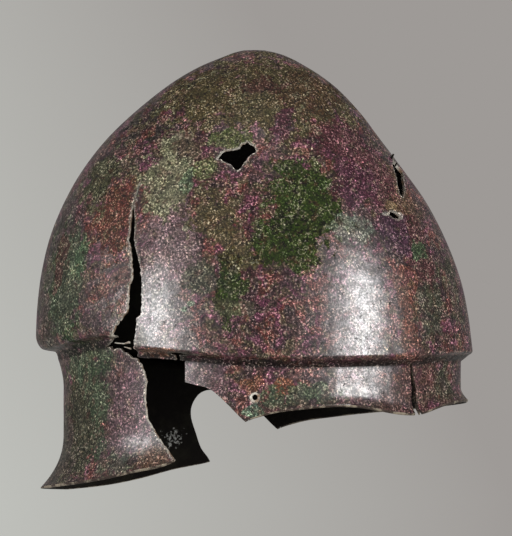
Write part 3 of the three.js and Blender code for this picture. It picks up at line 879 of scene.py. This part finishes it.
# Strengths of the grain, in doublings of brightness, and how far the left side's patches are moved
SPECKLE_STRENGTH = 20
BUSY_STRENGTH = 12
MATT_LOSS = 5
MOTTLE_STRENGTH = 4
MASS_STRENGTH = 2.5
GRAIN_DARKER = 1.75
LEFT_FORWARD = 0.4
LEFT_DOWN = 0.15

# Base tones: orange-brown behind the crack, dark brown before the crown, dark purple low down,
# pinkish grey as painted highlight, and a painted shade by the crown's rear edge
TONES = [
    ((-66, 65, 143), (26, 22, 52), (106, 66, 54), 0.75, 0.7),
    ((-50, 45, 190), (34, 26, 30), DARK_BROWN, 0.7),
    ((-89, -23, 96), (30, 36, 26), DARK_BROWN, 0.85),
    ((-68, 2, 168), (20, 50, 24), DUSTY_BROWN, 0.6),
    ((-78, -9, 150), (22, 24, 22), DUSTY_BROWN, 0.7),
    ((-84, -38, 118), (30, 46, 24), (84, 58, 62), 0.5),
    ((-38, -80, 150), (20, 26, 44), (96, 74, 62), 0.6),
    ((-30, -104, 110), (22, 20, 44), (76, 54, 52), 0.7),
    ((-60, -76, 128), (22, 20, 30), (66, 50, 56), 0.6),
    # Painted highlight: pinkish grey where the lamps from behind light the dome, here and behind the
    # crack.
    ((-87, 41, 92), (20, 26, 36), (104, 92, 88), 0.5),
    ((-62, 82, 88), (14, 16, 14), (104, 92, 88), 0.6, 0.2),
    # Painted shade: near black along the dome's upper rear edge.
    ((-36, 56, 196), (16, 22, 16), (42, 36, 30), 0.85, 0.3),
]
PATCHES = [
    # crown
    ((-40, -8, 212), (60, 54, 26), OLIVE, 0.9, 0.7, 1),
    ((-36, 26, 214), (30, 20, 16), OLIVE, 0.8, 0.7, 0.9),
    ((-32, -34, 214), (34, 20, 14), (86, 66, 50), 0.7, 0.5, 0.9),
    # behind and under the hole
    # Painted highlight: pale pink where the rear lamp's highlight falls.
    ((-80, 36, 132), (18, 20, 26), (136, 114, 116), 0.7, 0, 0.9),
    ((-67, 40, 164), (24, 17, 19), PALE_CRUST, 0.9, 0.7, 0.9),
    ((-58, 34, 183), (14, 12, 9), PALE_CRUST, 0.7, 0.6, 0.9, 0.2),
    ((-70, 28, 163), (12, 6, 9), (98, 122, 98), 0.6, 0.5),
    ((-66, 20, 172), (12, 8, 8), FRESH_GREEN, 0.8, 0.5),
    ((-60, 8, 186), (14, 12, 7), FRESH_GREEN, 0.8, 0.6, 0.8, 0.2),
    ((-72, -36, 152), (30, 22, 27), DEEP_GREEN, 0.92, 1.5, 0.65, 0.15),
    ((-82, -25, 129), (24, 22, 15), DEEP_GREEN, 0.9, 1.5, 0.6),
    ((-90, 4, 107), (14, 8, 20), DEEP_GREEN, 0.85, 1.4, 0.7),
    ((-79, 12, 146), (14, 16, 13), OLIVE, 0.85, 0.6, 1.2),
    ((-84, 6, 130), (16, 26, 9), OLIVE, 0.85, 0.6, 0.9, -0.75),
    ((-88, 16, 110), (12, 13, 9), DULL_GREEN, 0.75, 0.5, 1.2),
    ((-90, 2, 96), (10, 12, 6), (120, 116, 100), 0.5, 0.4, 0.8),
    # behind the crack
    # Painted reflection: grey sheen along the dome's rear edge, in these two patches.
    ((-38, 102, 132), (18, 12, 42), (68, 68, 60), 0.65, 0.2),
    ((-36, 108, 98), (18, 10, 34), (84, 83, 74), 0.65, 0.2),
    ((-64, 68, 148), (22, 13, 27), (114, 72, 58), 0.55, 0.4, 0.6),
    ((-50, 97, 112), (22, 15, 34), GREY_GREEN, 0.88, 0.6, 0.7),
    ((-58, 88, 124), (8, 8, 9), (104, 122, 98), 0.7, 0.6, 0.9),
    ((-42, 82, 170), (14, 14, 18), DULL_GREEN, 0.8, 0.6, 1),
    ((-44, 80, 164), (14, 10, 16), DRY_CRUST, 0.75, 0.6, 1.4),
    ((-54, 66, 176), (12, 10, 9), DRY_CRUST, 0.7, 0.6, 1.1),
    # brow
    ((-29, -106, 54), (12, 12, 12), DULL_GREEN, 0.75, 0.4, 0.9),
    ((-22, -111, 107), (10, 8, 26), DULL_GREEN, 0.6, 0.4, 0.9),
    ((-46, -100, 100), (14, 10, 26), DULL_GREEN, 0.7, 0.4, 0.8),
    ((-36, -82, 160), (14, 12, 32), (106, 84, 62), 0.7, 0.3, 0.6),
    ((-68, -59, 137), (12, 12, 9), (128, 136, 122), 0.7, 0.4, 0.9),
    # reds and purples
    ((-40, -66, 174), (16, 13, 30), CRIMSON, 0.8, 0, 0.8, 0.3),
    ((-43, -50, 187), (16, 12, 14), CRIMSON, 0.75, 0, 0.8),
    ((-54, -59, 162), (16, 12, 22), MAGENTA, 0.75, 0, 0.7),
    ((-52, -20, 195), (12, 6, 14), MAGENTA, 0.75, 0, 0.6, -0.3),
    ((-38, -8, 217), (12, 11, 6), DARK_RED, 0.75, 0, 0.8),
    ((-66, 30, 188), (14, 10, 12), DARK_RED, 0.6, 0, 0.8),
    ((-49, -84, 137), (14, 15, 12), PURPLE, 0.85),
    ((-40, -91, 137), (10, 7, 11), BRICK, 0.8),
    ((-45, -96, 118), (10, 9, 14), BRICK, 0.85),
    ((-41, 101, 122), (6, 4, 24), BRICK, 0.7),
    ((-72, 59, 30), (12, 7, 8), BRICK, 0.6),
    ((-43, -93, 128), (8, 5, 7), (66, 92, 62), 0.8, 0.3),
    # orange
    ((-57, -88, 110), (9, 6, 16), ORANGE, 0.4),
    ((-59, -91, 84), (9, 6, 22), ORANGE, 0.35),
    ((-62, -90, 64), (9, 9, 8), ORANGE, 0.55),
    ((-84, -25, 53), (10, 6, 4.5), ORANGE, 0.8, 0.2),
    ((-87, -8, 56), (8, 8, 4.5), ORANGE, 0.5, 0.2),
    # band
    ((-83, -33, 47.5), (14, 22, 6), SEA_GREEN, 0.8, 0.4, 1.3),
    ((-86, -11, 39.5), (8, 6, 6), (92, 118, 100), 0.8, 0.4),
    ((-85, 17, 58), (14, 15, 10), (108, 82, 88), 0.7),
    ((-50, -94, 56), (16, 14, 16), (86, 54, 50), 0.7, 0, 0.6),
    # neck guard
    ((-52, 87, 46), (22, 21, 38), SEA_GREEN, 0.88, 0.4, 0.8),
    ((-68, 65, 14), (14, 14, 8), GREY_GREEN, 0.7, 0.3, 1),
    ((-40, 102, 26), (30, 26, 34), (64, 60, 47), 0.85, 0.3),
    ((-70, 60, 42), (18, 15, 26), (104, 74, 84), 0.75),
    ((-82, 44, 13), (14, 12, 8), (104, 80, 62), 0.75),
]

# Small spots with clear edges: the torn step, bare metal round the pit made paler as a painted
# highlight, and pale dots
SPOTS = [
    ((-85, 45, 71), (12, 14, 3), (110, 72, 50), 0.85, 0, 0.3),
    # Painted highlight: near white round the pit, where its torn lips catch the light.
    ((-50, -76.5, 146.6), (4, 2.6, 1.2), (205, 200, 192), 0.8),
    ((-44, -83.5, 146.2), (4, 2.4, 2.4), (196, 190, 180), 0.9, 0, 0.4),
    ((-47, -81, 152), (6, 5, 4.5), (150, 128, 96), 0.7, 0, 0.6),
    ((-79, 28.6, 137.5), (4, 1.7, 1.7), (186, 182, 160), 0.8, 0.4, 0.4),
    ((-88, 24, 97), (4, 2.2, 1.9), (150, 166, 146), 0.8, 0.4),
    ((-88, 28, 94), (4, 1.8, 1.6), (140, 156, 136), 0.8, 0.4),
]

# Stains all over the skin, and smaller ones on the crusts too: size, the level of the noise from
# which they show, colour, how dense
SKIN_STAINS = [
    (14.0, 0.53, (60, 31, 41), 0.75),
    (11.0, 0.55, (118, 64, 56), 0.65),
    (9.0, 0.54, (120, 72, 92), 0.75),
    (8.0, 0.57, (84, 76, 50), 0.7),
    (6.0, 0.57, (44, 24, 31), 0.75),
    (5.0, 0.61, (140, 96, 92), 0.5),
]
CRUST_STAINS = [
    (5.5, 0.6, (76, 46, 42), 0.55),
    (4.5, 0.61, (62, 60, 36), 0.5),
    (3.6, 0.62, (116, 104, 84), 0.5),
]


def patched(look, colour, matt, rows, at, lace):
    """Lays patches over a colour, and adds up how matt they make the surface.

    Neighbours in the list with the same colour are laid together. The places move on from patch to
    patch by Vector Math, because one Mapping node for each overflows the stack of Cycles."""
    centre = Vector((0, 0, 0))
    ragged_edge = 0.5 - lace
    laid = None
    patches = [Patch(*row) for row in rows]
    for patch, follower in zip(patches, [*patches[1:], None]):
        step = (Vector(patch.centre) - centre) * MM
        centre = Vector(patch.centre)
        at = look.vector("SUBTRACT", at, step)
        spot = look.moved(at, turn=(patch.tilt, 0, 0)) if patch.tilt else at
        spot = look.vector("DIVIDE", spot, [reach * MM for reach in patch.reach])
        away = look.vector("LENGTH", spot, output=1)
        torn = look.math("MULTIPLY_ADD", ragged_edge, PATCH_TEAR * patch.lace, away)
        share = look.ramp(torn, *PATCH_EDGE) * patch.dense
        laid = look.math("MAXIMUM", laid, share) if laid else share
        if follower is None or follower.colour != patch.colour:
            colour = look.blend(laid, colour, vivid(patch.colour))
            laid = None
        if patch.matt:
            matt = matt + share * patch.matt
    return colour, matt


def stained(look, colour, stains, at, detail, rough, fade):
    """Lays stains over a colour. fade gives where they begin and are full, from their level."""
    for size, level, stain, dense in stains:
        share = look.ramp(look.grain(at, size, detail, rough), level + fade[0], level + fade[1])
        colour = look.blend(share * dense, colour, vivid(stain))
    return colour


class Ground:
    """Places and noises that the colour, the gloss and the relief of the outer face share."""

    def __init__(self, look):
        at = look.places()
        wide = look.grain(at, 17.0, detail=3.0, rough=0.62, output=1)
        drift = look.vector("MULTIPLY_ADD", wide, (2 * PATCH_DRIFT * MM,) * 3, (-PATCH_DRIFT * MM,) * 3)
        self.at = at
        self.warped = look.vector("ADD", at, drift)
        self.mirrored = mirrored(look, self.warped)
        self.speckle = look.grain(at, 1.1, detail=3.0, rough=0.72)
        self.busy = look.ramp(look.grain(at, 7.0, detail=3.0, rough=0.6, seed=5.0), 0.36, 0.62)
        self.mottle = look.grain(at, 5.0, detail=4.0, rough=0.66)
        self.mass = look.grain(at, 11.0)
        self.lace = look.grain(at, 7.5, detail=5.0, rough=0.72)
        self.clouds = look.grain(at, 24.0, detail=3.0, rough=0.6)


def mirrored(look, places):
    """Places for the patches: the left side mirrors the right one, and is shifted forward and down."""
    aside, back, up = (look.node("SeparateXYZ", {}, {0: places}, k) for k in range(3))
    far = look.math("MAXIMUM", aside, 0.0)
    sides = {0: 0 - abs(aside), 1: back + far * LEFT_FORWARD, 2: up + far * LEFT_DOWN}
    return look.node("CombineXYZ", {}, sides)


def bronze_stains(look, ground):
    """Skin with its tones, stains, patches and spots, and how matt each place is."""
    colour = look.blend(look.ramp(ground.clouds, 0.38, 0.62), vivid(DARK_SKIN), vivid(PALE_SKIN))
    colour, matt = patched(look, colour, 0.0, TONES, ground.mirrored, ground.lace)
    colour = stained(look, colour, SKIN_STAINS, ground.warped, detail=1.6, rough=0.5,
                     fade=(-0.01, 0.045))
    colour, matt = patched(look, colour, matt, PATCHES, ground.mirrored, ground.lace)
    colour, matt = patched(look, colour, matt, SPOTS, ground.at, ground.lace)
    colour = stained(look, colour, CRUST_STAINS, ground.at, detail=2.0, rough=0.6, fade=(0.0, 0.04))
    return colour, matt


def bronze_marks(look, ground, colour, matt):
    """Lays flecks, worm-like marks and dark pits. The marks and pits are given for the relief."""
    flecks = look.ramp(look.grain(ground.at, 2.2, rough=0.6, seed=3.0), 0.66, 0.72)
    colour = look.blend(flecks * 0.5, colour, FLECK)
    lines = abs(look.grain(ground.at, 3.4, detail=3.0, rough=0.55, seed=9.0) - 0.5)
    worms = look.ramp(lines, 0.045, 0.01)
    shown = worms * look.ramp(ground.lace, 0.5, 0.62) * (0.15 + matt * 0.5)
    colour = look.blend(shown, colour, WORM)
    hollows = look.grain(ground.at, 2.4, rough=0.6)
    pits = look.ramp(hollows, 0.38, 0.31)
    dark = look.ramp(hollows - matt * 0.05, 0.38, 0.31) * 0.8
    return look.blend(dark, colour, PIT), worms, pits


def bronze_wear_and_shade(look, ground, colour):
    """Lays brown metal by the rim, pale worn metal with a painted highlight by the tears, and painted
    shade in the groove.
    """
    worn_glint, groove, strip = (look.painted(name) for name in ("worn_glint", "groove", "strip"))
    colour = look.blend(strip * look.ramp(ground.lace, 0.4, 0.55) * 0.75, colour, STRIP)
    # Pale worn metal by the tears, lightened further as a painted highlight along the torn edges.
    colour = look.blend(worn_glint * 0.85, colour, WORN_METAL_GLINT)
    # Painted shade: the groove under the dome edge is darkened nearly to black.
    colour = look.blend(groove * look.ramp(ground.lace, 0.3, 0.5) * 0.85, colour, GROOVE_SHADE)
    return colour, groove


def bronze_grain(look, ground, colour, matt):
    """Breaks a colour up by a coarse grain, weaker on crusts, with small changes of tint."""
    tints = look.grain(ground.at, 6.0, seed=7.0, output=1)
    contrast = SPECKLE_STRENGTH + ground.busy * BUSY_STRENGTH - matt * MATT_LOSS
    level = 2 ** ((ground.speckle - 0.5) * contrast + (ground.mottle - 0.5) * MOTTLE_STRENGTH
                  + (ground.mass - 0.5) * MASS_STRENGTH - GRAIN_DARKER)
    colour = look.vector("MULTIPLY", colour, look.vector("MULTIPLY_ADD", tints, (0.3,) * 3, (0.83,) * 3))
    tips = look.ramp(level, 1.2, 3.2, smooth=False) * 0.6
    return look.blend(tips, look.tinted(colour, level * 0.8 + 0.15), GRAIN_TIP)


def bronze_gloss(look, ground, matt, pits, groove):
    """A thin gloss in glints, weak in pits and in the groove, and gone from matt crusts."""
    glints = look.ramp(ground.speckle + (ground.mottle - 0.5) * 0.8, 0.36, 0.64)
    gloss = look.ramp(matt + pits * 0.6 + groove * 0.6, 0.75, 0.0, smooth=False)
    return gloss * (0.35 + glints * 0.65)


def bronze_relief(look, ground, worms, pits):
    """Broad waves, lumps and fine grain. No height here depends on matt, or the stack overflows."""
    relief = look.bump(look.grain(ground.at, 20.0), 0.5)
    relief = look.bump(ground.mottle + ground.lace * 0.6, 0.16, relief)
    fine = ground.speckle * (0.5 + ground.busy) + worms * 0.3 - pits * 0.3
    return look.bump(fine, 0.07, relief)


def bronze_look():
    """The outer face: purple-brown skin with green, red and orange patches and a coarse grain."""
    look = Look("patinated_bronze", SKIN, 0.4)
    ground = Ground(look)
    colour, matt = bronze_stains(look, ground)
    colour, worms, pits = bronze_marks(look, ground, colour, matt)
    colour, groove = bronze_wear_and_shade(look, ground, colour)
    look.set("Base Color", bronze_grain(look, ground, colour, matt))
    look.set("Roughness", 0.4 + matt * 0.4)
    look.set("Coat Weight", bronze_gloss(look, ground, matt, pits, groove))
    look.set("Normal", bronze_relief(look, ground, worms, pits))
    look.set("Specular IOR Level", 0.3)
    look.set("Coat Roughness", 0.3)
    look.set("Coat IOR", 1.8)
    return look.material


def inner_look():
    """The inner face: nearly black, with dull stains and one pale mark."""
    look = Look("inner_bronze", (24, 20, 18), 0.6)
    at = look.places()
    stains = look.ramp(look.grain(at, 16.0, detail=4.0, rough=0.65), 0.45, 0.65)
    speckle = look.grain(at, 1.6, detail=3.0, rough=0.6)
    colour = look.blend(stains, (22, 18, 16), (34, 32, 25))
    pale_mark = look.moved(at, shift=(-5.4, -8.8, -5.6), stretch=(77, 167, 196))
    pale_mark = look.vector("LENGTH", pale_mark, output=1)
    torn = (0.5 - look.grain(at, 4.0, detail=4.0, rough=0.7)) * 4
    pale_mark = look.ramp(pale_mark + torn, 1.0, 0.7)
    colour = look.blend(pale_mark * look.ramp(speckle, 0.44, 0.62), colour, (190, 190, 186))
    look.set("Base Color", look.tinted(colour, 0.6 + speckle * 0.8))
    look.set("Normal", look.bump(speckle, 0.2))
    look.set("Specular IOR Level", 0.1)
    return look.material


def bare_look(name, colour, roughness, stains, before, after, shade, fine):
    """Bare metal, whose colour changes from before to after by stains, under a fine grain.

    stains gives their size, where they begin and where they are full, shade the least brightness
    and the rest of it, and fine the size of the grain in the colour and in the relief."""
    look = Look(name, colour, roughness)
    at = look.places()
    size, low, high = stains
    stained_share = look.ramp(look.grain(at, size, detail=4.0, rough=0.7), low, high)
    colour = look.blend(stained_share, before, after)
    look.set("Base Color", look.tinted(colour, shade[0] + look.grain(at, fine[0]) * shade[1]))
    look.set("Normal", look.bump(look.grain(at, fine[1]), 0.08))
    return look.material


def edge_look():
    """Torn edges and burrs: pale metal, made paler still as a painted highlight along the edges."""
    return bare_look("torn_edge", (196, 188, 174), 0.35, stains=(5.0, 0.4, 0.62), before=(206, 200, 188),
                     after=(128, 104, 84), shade=(0.7, 0.6), fine=(0.9, 1.0))


def rim_look():
    """Rims of the sheet: dark brown, worn lighter here and there."""
    return bare_look("worn_rim", (62, 50, 42), 0.42, stains=(7.0, 0.46, 0.6), before=(58, 44, 37),
                     after=(146, 134, 116), shade=(0.6, 0.8), fine=(1.2, 1.2))


LOOKS = [bronze_look(), inner_look(), edge_look(), rim_look()]
torn_edge = LOOKS[TORN]


# Pieces

def place_small(bm, way, centre):
    """Turns small metal in a bmesh from +Z to a way, and moves it to its centre, in metres."""
    turned = Vector(way).to_track_quat("Z", "Y").to_matrix().to_4x4()
    bmesh.ops.transform(bm, matrix=turned, verts=bm.verts)
    bmesh.ops.translate(bm, vec=centre, verts=bm.verts)


def small_metal(bm, name, kind):
    """Gives all of a small piece one look."""
    for face in bm.faces:
        face.material_index = kind
    return finished(bm, name, LOOKS)


def sliver(start, end, thick, blunt, kind):
    """A thin piece of bent metal from one place to another, with its thickness at each."""
    start, end = Vector(start) * MM, Vector(end) * MM
    bm = bmesh.new()
    bmesh.ops.create_cone(bm, cap_ends=True, segments=10, radius1=thick / 2 * MM,
                          radius2=blunt / 2 * MM, depth=(end - start).length)
    bmesh.ops.scale(bm, vec=(1.0, SMALL_FLATNESS, 1.0), verts=bm.verts)
    place_small(bm, end - start, (start + end) / 2)
    return small_metal(bm, "sliver", kind)


def burr(turn):
    """The raised ring of metal round a hinge hole."""
    point, out = on_skirt(turn, HINGE_HEIGHT)
    middle, thick = HINGE_HOLE / 2 + BURR_WIDE / 2, BURR_WIDE / 2
    bm = bmesh.new()
    bmesh.ops.create_circle(bm, segments=8, radius=thick * MM)
    bmesh.ops.scale(bm, vec=(1.0, SMALL_FLATNESS, 1.0), verts=bm.verts)
    bmesh.ops.rotate(bm, matrix=Matrix.Rotation(math.pi / 2, 3, "X"), verts=bm.verts)
    bmesh.ops.translate(bm, vec=(middle * MM, 0, 0), verts=bm.verts)
    bmesh.ops.spin(bm, geom=bm.verts[:] + bm.edges[:], axis=(0, 0, 1), cent=(0, 0, 0),
                   angle=math.tau, steps=36, use_merge=True)
    for vert in bm.verts:
        vert.co *= 1 + BURR_ROUGH * noise.noise(vert.co * BURR_GRAIN + Vector((turn, 0, 0)))
    place_small(bm, out, Vector(point) * MM)
    bmesh.ops.recalc_face_normals(bm, faces=bm.faces)
    return small_metal(bm, "burr", TORN)


def make_dome():
    dome = dome_body()
    cutters = []
    for tear, deep, rough, seed in DOME_TEARS:
        outline = ragged(outline_of(tear), every=1.1, rough=rough, seed=seed)
        cutters.append(tear_cutter(outline, on_dome, torn_edge, deep, deep))
    cut(dome, cutters)
    joined(dome, [sliver(*values) for values in SLIVERS])
    finish(dome, groove_of_dome, no_strip)
    return dome


def ear_cutter(left):
    outline = rounded(outline_of(EAR), steps=4)
    if left:
        outline = [(360 - turn, height) for turn, height in outline]
    return tear_cutter(outline, on_skirt, LOOKS[RIM])


def notch_cutter(shares, side, seed):
    """Cuts the end of a band along one edge of the crack, and all that lies beyond on that side."""
    edge = outline_of((NOTCH_TURN, NOTCH_SPREAD, NOTCH_FOOT, NOTCH_TALL, shares))
    top, foot = edge[0][1], edge[-1][1]
    far = NOTCH_TURN + side * NOTCH_BEYOND * NOTCH_SPREAD
    torn = ragged(edge, every=1.3, rough=0.5, seed=seed)
    outline = [spot for spot in torn if spot[1] > foot + FOOT_CLEAR]
    return tear_cutter(outline + [edge[-1], (far, foot), (far, top)], on_skirt, LOOKS[RIM])


def hole_cutter(turn):
    point, out = on_skirt(turn, HINGE_HEIGHT)
    bm = bmesh.new()
    bmesh.ops.create_cone(bm, cap_ends=True, segments=28, radius1=HINGE_HOLE / 2 * MM,
                          radius2=HINGE_HOLE / 2 * MM, depth=2 * CUT_DEEP * MM)
    place_small(bm, out, Vector(point) * MM)
    return finished(bm, "cutter", [LOOKS[RIM]])


def make_guard():
    guard = skirt_body("neck_guard_sheet", GUARD_START_TURN, BAND_SPLIT_TURN, columns=230, fine=56,
                       on_guard=True)
    outline = ragged(outline_of(GUARD_LOSS), every=1.2, rough=0.6, seed=5)
    loss = tear_cutter(outline, on_skirt, torn_edge, outwards=18.0)
    cut(guard, [loss, ear_cutter(left=True)])
    finish(guard, lambda points: groove_of_skirt(points, True), no_strip)
    return guard


def make_band(name, start, end, cutters, hole_turn, columns):
    band = skirt_body(name, start, end, columns, fine=26, on_guard=False)
    cut(band, [*cutters, hole_cutter(hole_turn)])
    joined(band, [burr(hole_turn)])
    finish(band, lambda points: groove_of_skirt(points, False), strip_of_skirt)
    return band


dome = make_dome()
guard = make_guard()
right_band = make_band("brow_band_right_sheet", NOTCH_TURN, BAND_END_TURN,
                       [notch_cutter(NOTCH_BEHIND, side=-1, seed=6), ear_cutter(left=False)],
                       HINGE_TURN, columns=120)
left_band = make_band("brow_band_left_sheet", BAND_SPLIT_TURN - 360, NOTCH_TURN + NOTCH_SPREAD,
                      [notch_cutter(NOTCH_AHEAD, side=1, seed=7), ear_cutter(left=True)],
                      -HINGE_TURN, columns=230)
for piece, node, slot in ((dome, "dome", "dome_bronze"), (guard, "neck_guard", "guard_bronze"),
                          (right_band, "brow_band_right", "band_bronze"),
                          (left_band, "brow_band_left", "band_bronze")):
    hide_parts(node)
    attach(piece, "root")


# Floor, light and camera. The camera fits the photograph's height and its millimetres per pixel.
FILM = 36.0
PHOTO_HEIGHT = 536
PHOTO_SCALE = 0.547
VIEW_TURN = math.radians(5.93)
VIEW_RISE = math.radians(-3.0)
VIEW_FAR = 3000.0
VIEW_AIM = Vector((0, -1.1, 120.5))
FLOOR_DROP = 62.0
FLOOR_SIZE = 14.0
PANEL_FAR = 2.2
LIGHT_AHEAD = 0.08
LIGHT_BEHIND = 0.16
BACKDROP_LEFT = (190, 191, 186)
BACKDROP_RIGHT = (158, 154, 151)


def towards(turn, rise):
    """A direction from the helmet: the turn goes from -X to -Y."""
    return Vector((-math.cos(turn) * math.cos(rise), -math.sin(turn) * math.cos(rise), math.sin(rise)))


def make_floor():
    bm = bmesh.new()
    bmesh.ops.create_grid(bm, x_segments=1, y_segments=1, size=FLOOR_SIZE)
    bmesh.ops.translate(bm, vec=(0, 0, -FLOOR_DROP * MM), verts=bm.verts)
    floor = finished(bm, "floor", [Look("pale_floor", (196, 196, 192), 0.8).material])


def make_world():
    """Weak light from all round, stronger from behind, and a pale backdrop that only the camera sees."""
    world = bpy.data.worlds.new("studio")
    bpy.context.scene.world = world
    world.use_nodes = True
    world.node_tree.nodes.clear()
    sheet = Sheet(world.node_tree)
    around = sheet.node("TexCoord", {}, {})
    behind, left, up = (sheet.node("SeparateXYZ", {}, {0: around}, k) for k in range(3))
    level = LIGHT_AHEAD + sheet.ramp(behind, -0.6, 0.6) * (LIGHT_BEHIND - LIGHT_AHEAD)
    light = sheet.node("Background", {}, {"Color": (255, 255, 255), "Strength": level})
    paler = sheet.ramp(left, 0.056, 0.15, smooth=False) - sheet.ramp(up, 0.01, 0.1, smooth=False) * 0.5
    backdrop = sheet.blend(sheet.ramp(paler, 0.0, 1.0, smooth=False), BACKDROP_RIGHT, BACKDROP_LEFT)
    seen = sheet.node("Background", {}, {"Color": backdrop})
    camera_ray = sheet.node("LightPath", {}, {})
    both = sheet.node("MixShader", {}, {0: camera_ray, 1: light, 2: seen})
    sheet.node("OutputWorld", {}, {0: both}, None)


def make_lamp(name, turn, rise, wide, tall, radiance, lean=0.0):
    """A soft panel that faces the helmet. Its brightness is per square metre."""
    data = bpy.data.lights.new(name, "AREA")
    data.shape = "RECTANGLE"
    data.size = wide
    data.size_y = tall
    data.energy = radiance * wide * tall * math.pi
    lamp = added(name, data)
    out = towards(math.radians(turn), math.radians(rise))
    lamp.location = VIEW_AIM * MM + out * PANEL_FAR
    lamp.rotation_mode = "QUATERNION"
    leaning = Matrix.Rotation(-math.radians(lean), 3, "Z").to_quaternion()
    lamp.rotation_quaternion = out.to_track_quat("Z", "Y") @ leaning


def make_camera():
    data = bpy.data.cameras.new("camera")
    data.lens = FILM * VIEW_FAR / (PHOTO_HEIGHT * PHOTO_SCALE)
    data.sensor_width = FILM
    data.clip_end = 100
    camera = added("camera", data)
    out = towards(VIEW_TURN, VIEW_RISE)
    camera.location = (VIEW_AIM + out * VIEW_FAR) * MM
    camera.rotation_mode = "QUATERNION"
    camera.rotation_quaternion = out.to_track_quat("Z", "Y")
    bpy.context.scene.camera = camera


make_floor()
make_world()
make_lamp("front_panel", turn=51, rise=12, wide=0.42, tall=1.1, radiance=26, lean=20)
make_lamp("rear_panel", turn=-40, rise=6, wide=0.42, tall=0.9, radiance=21)
make_lamp("side_panel", turn=-67, rise=24, wide=0.34, tall=0.6, radiance=15)
make_lamp("top_panel", turn=0, rise=75, wide=1.2, tall=1.2, radiance=0.8)
make_camera()
bpy.context.scene.view_settings.view_transform = "Standard"
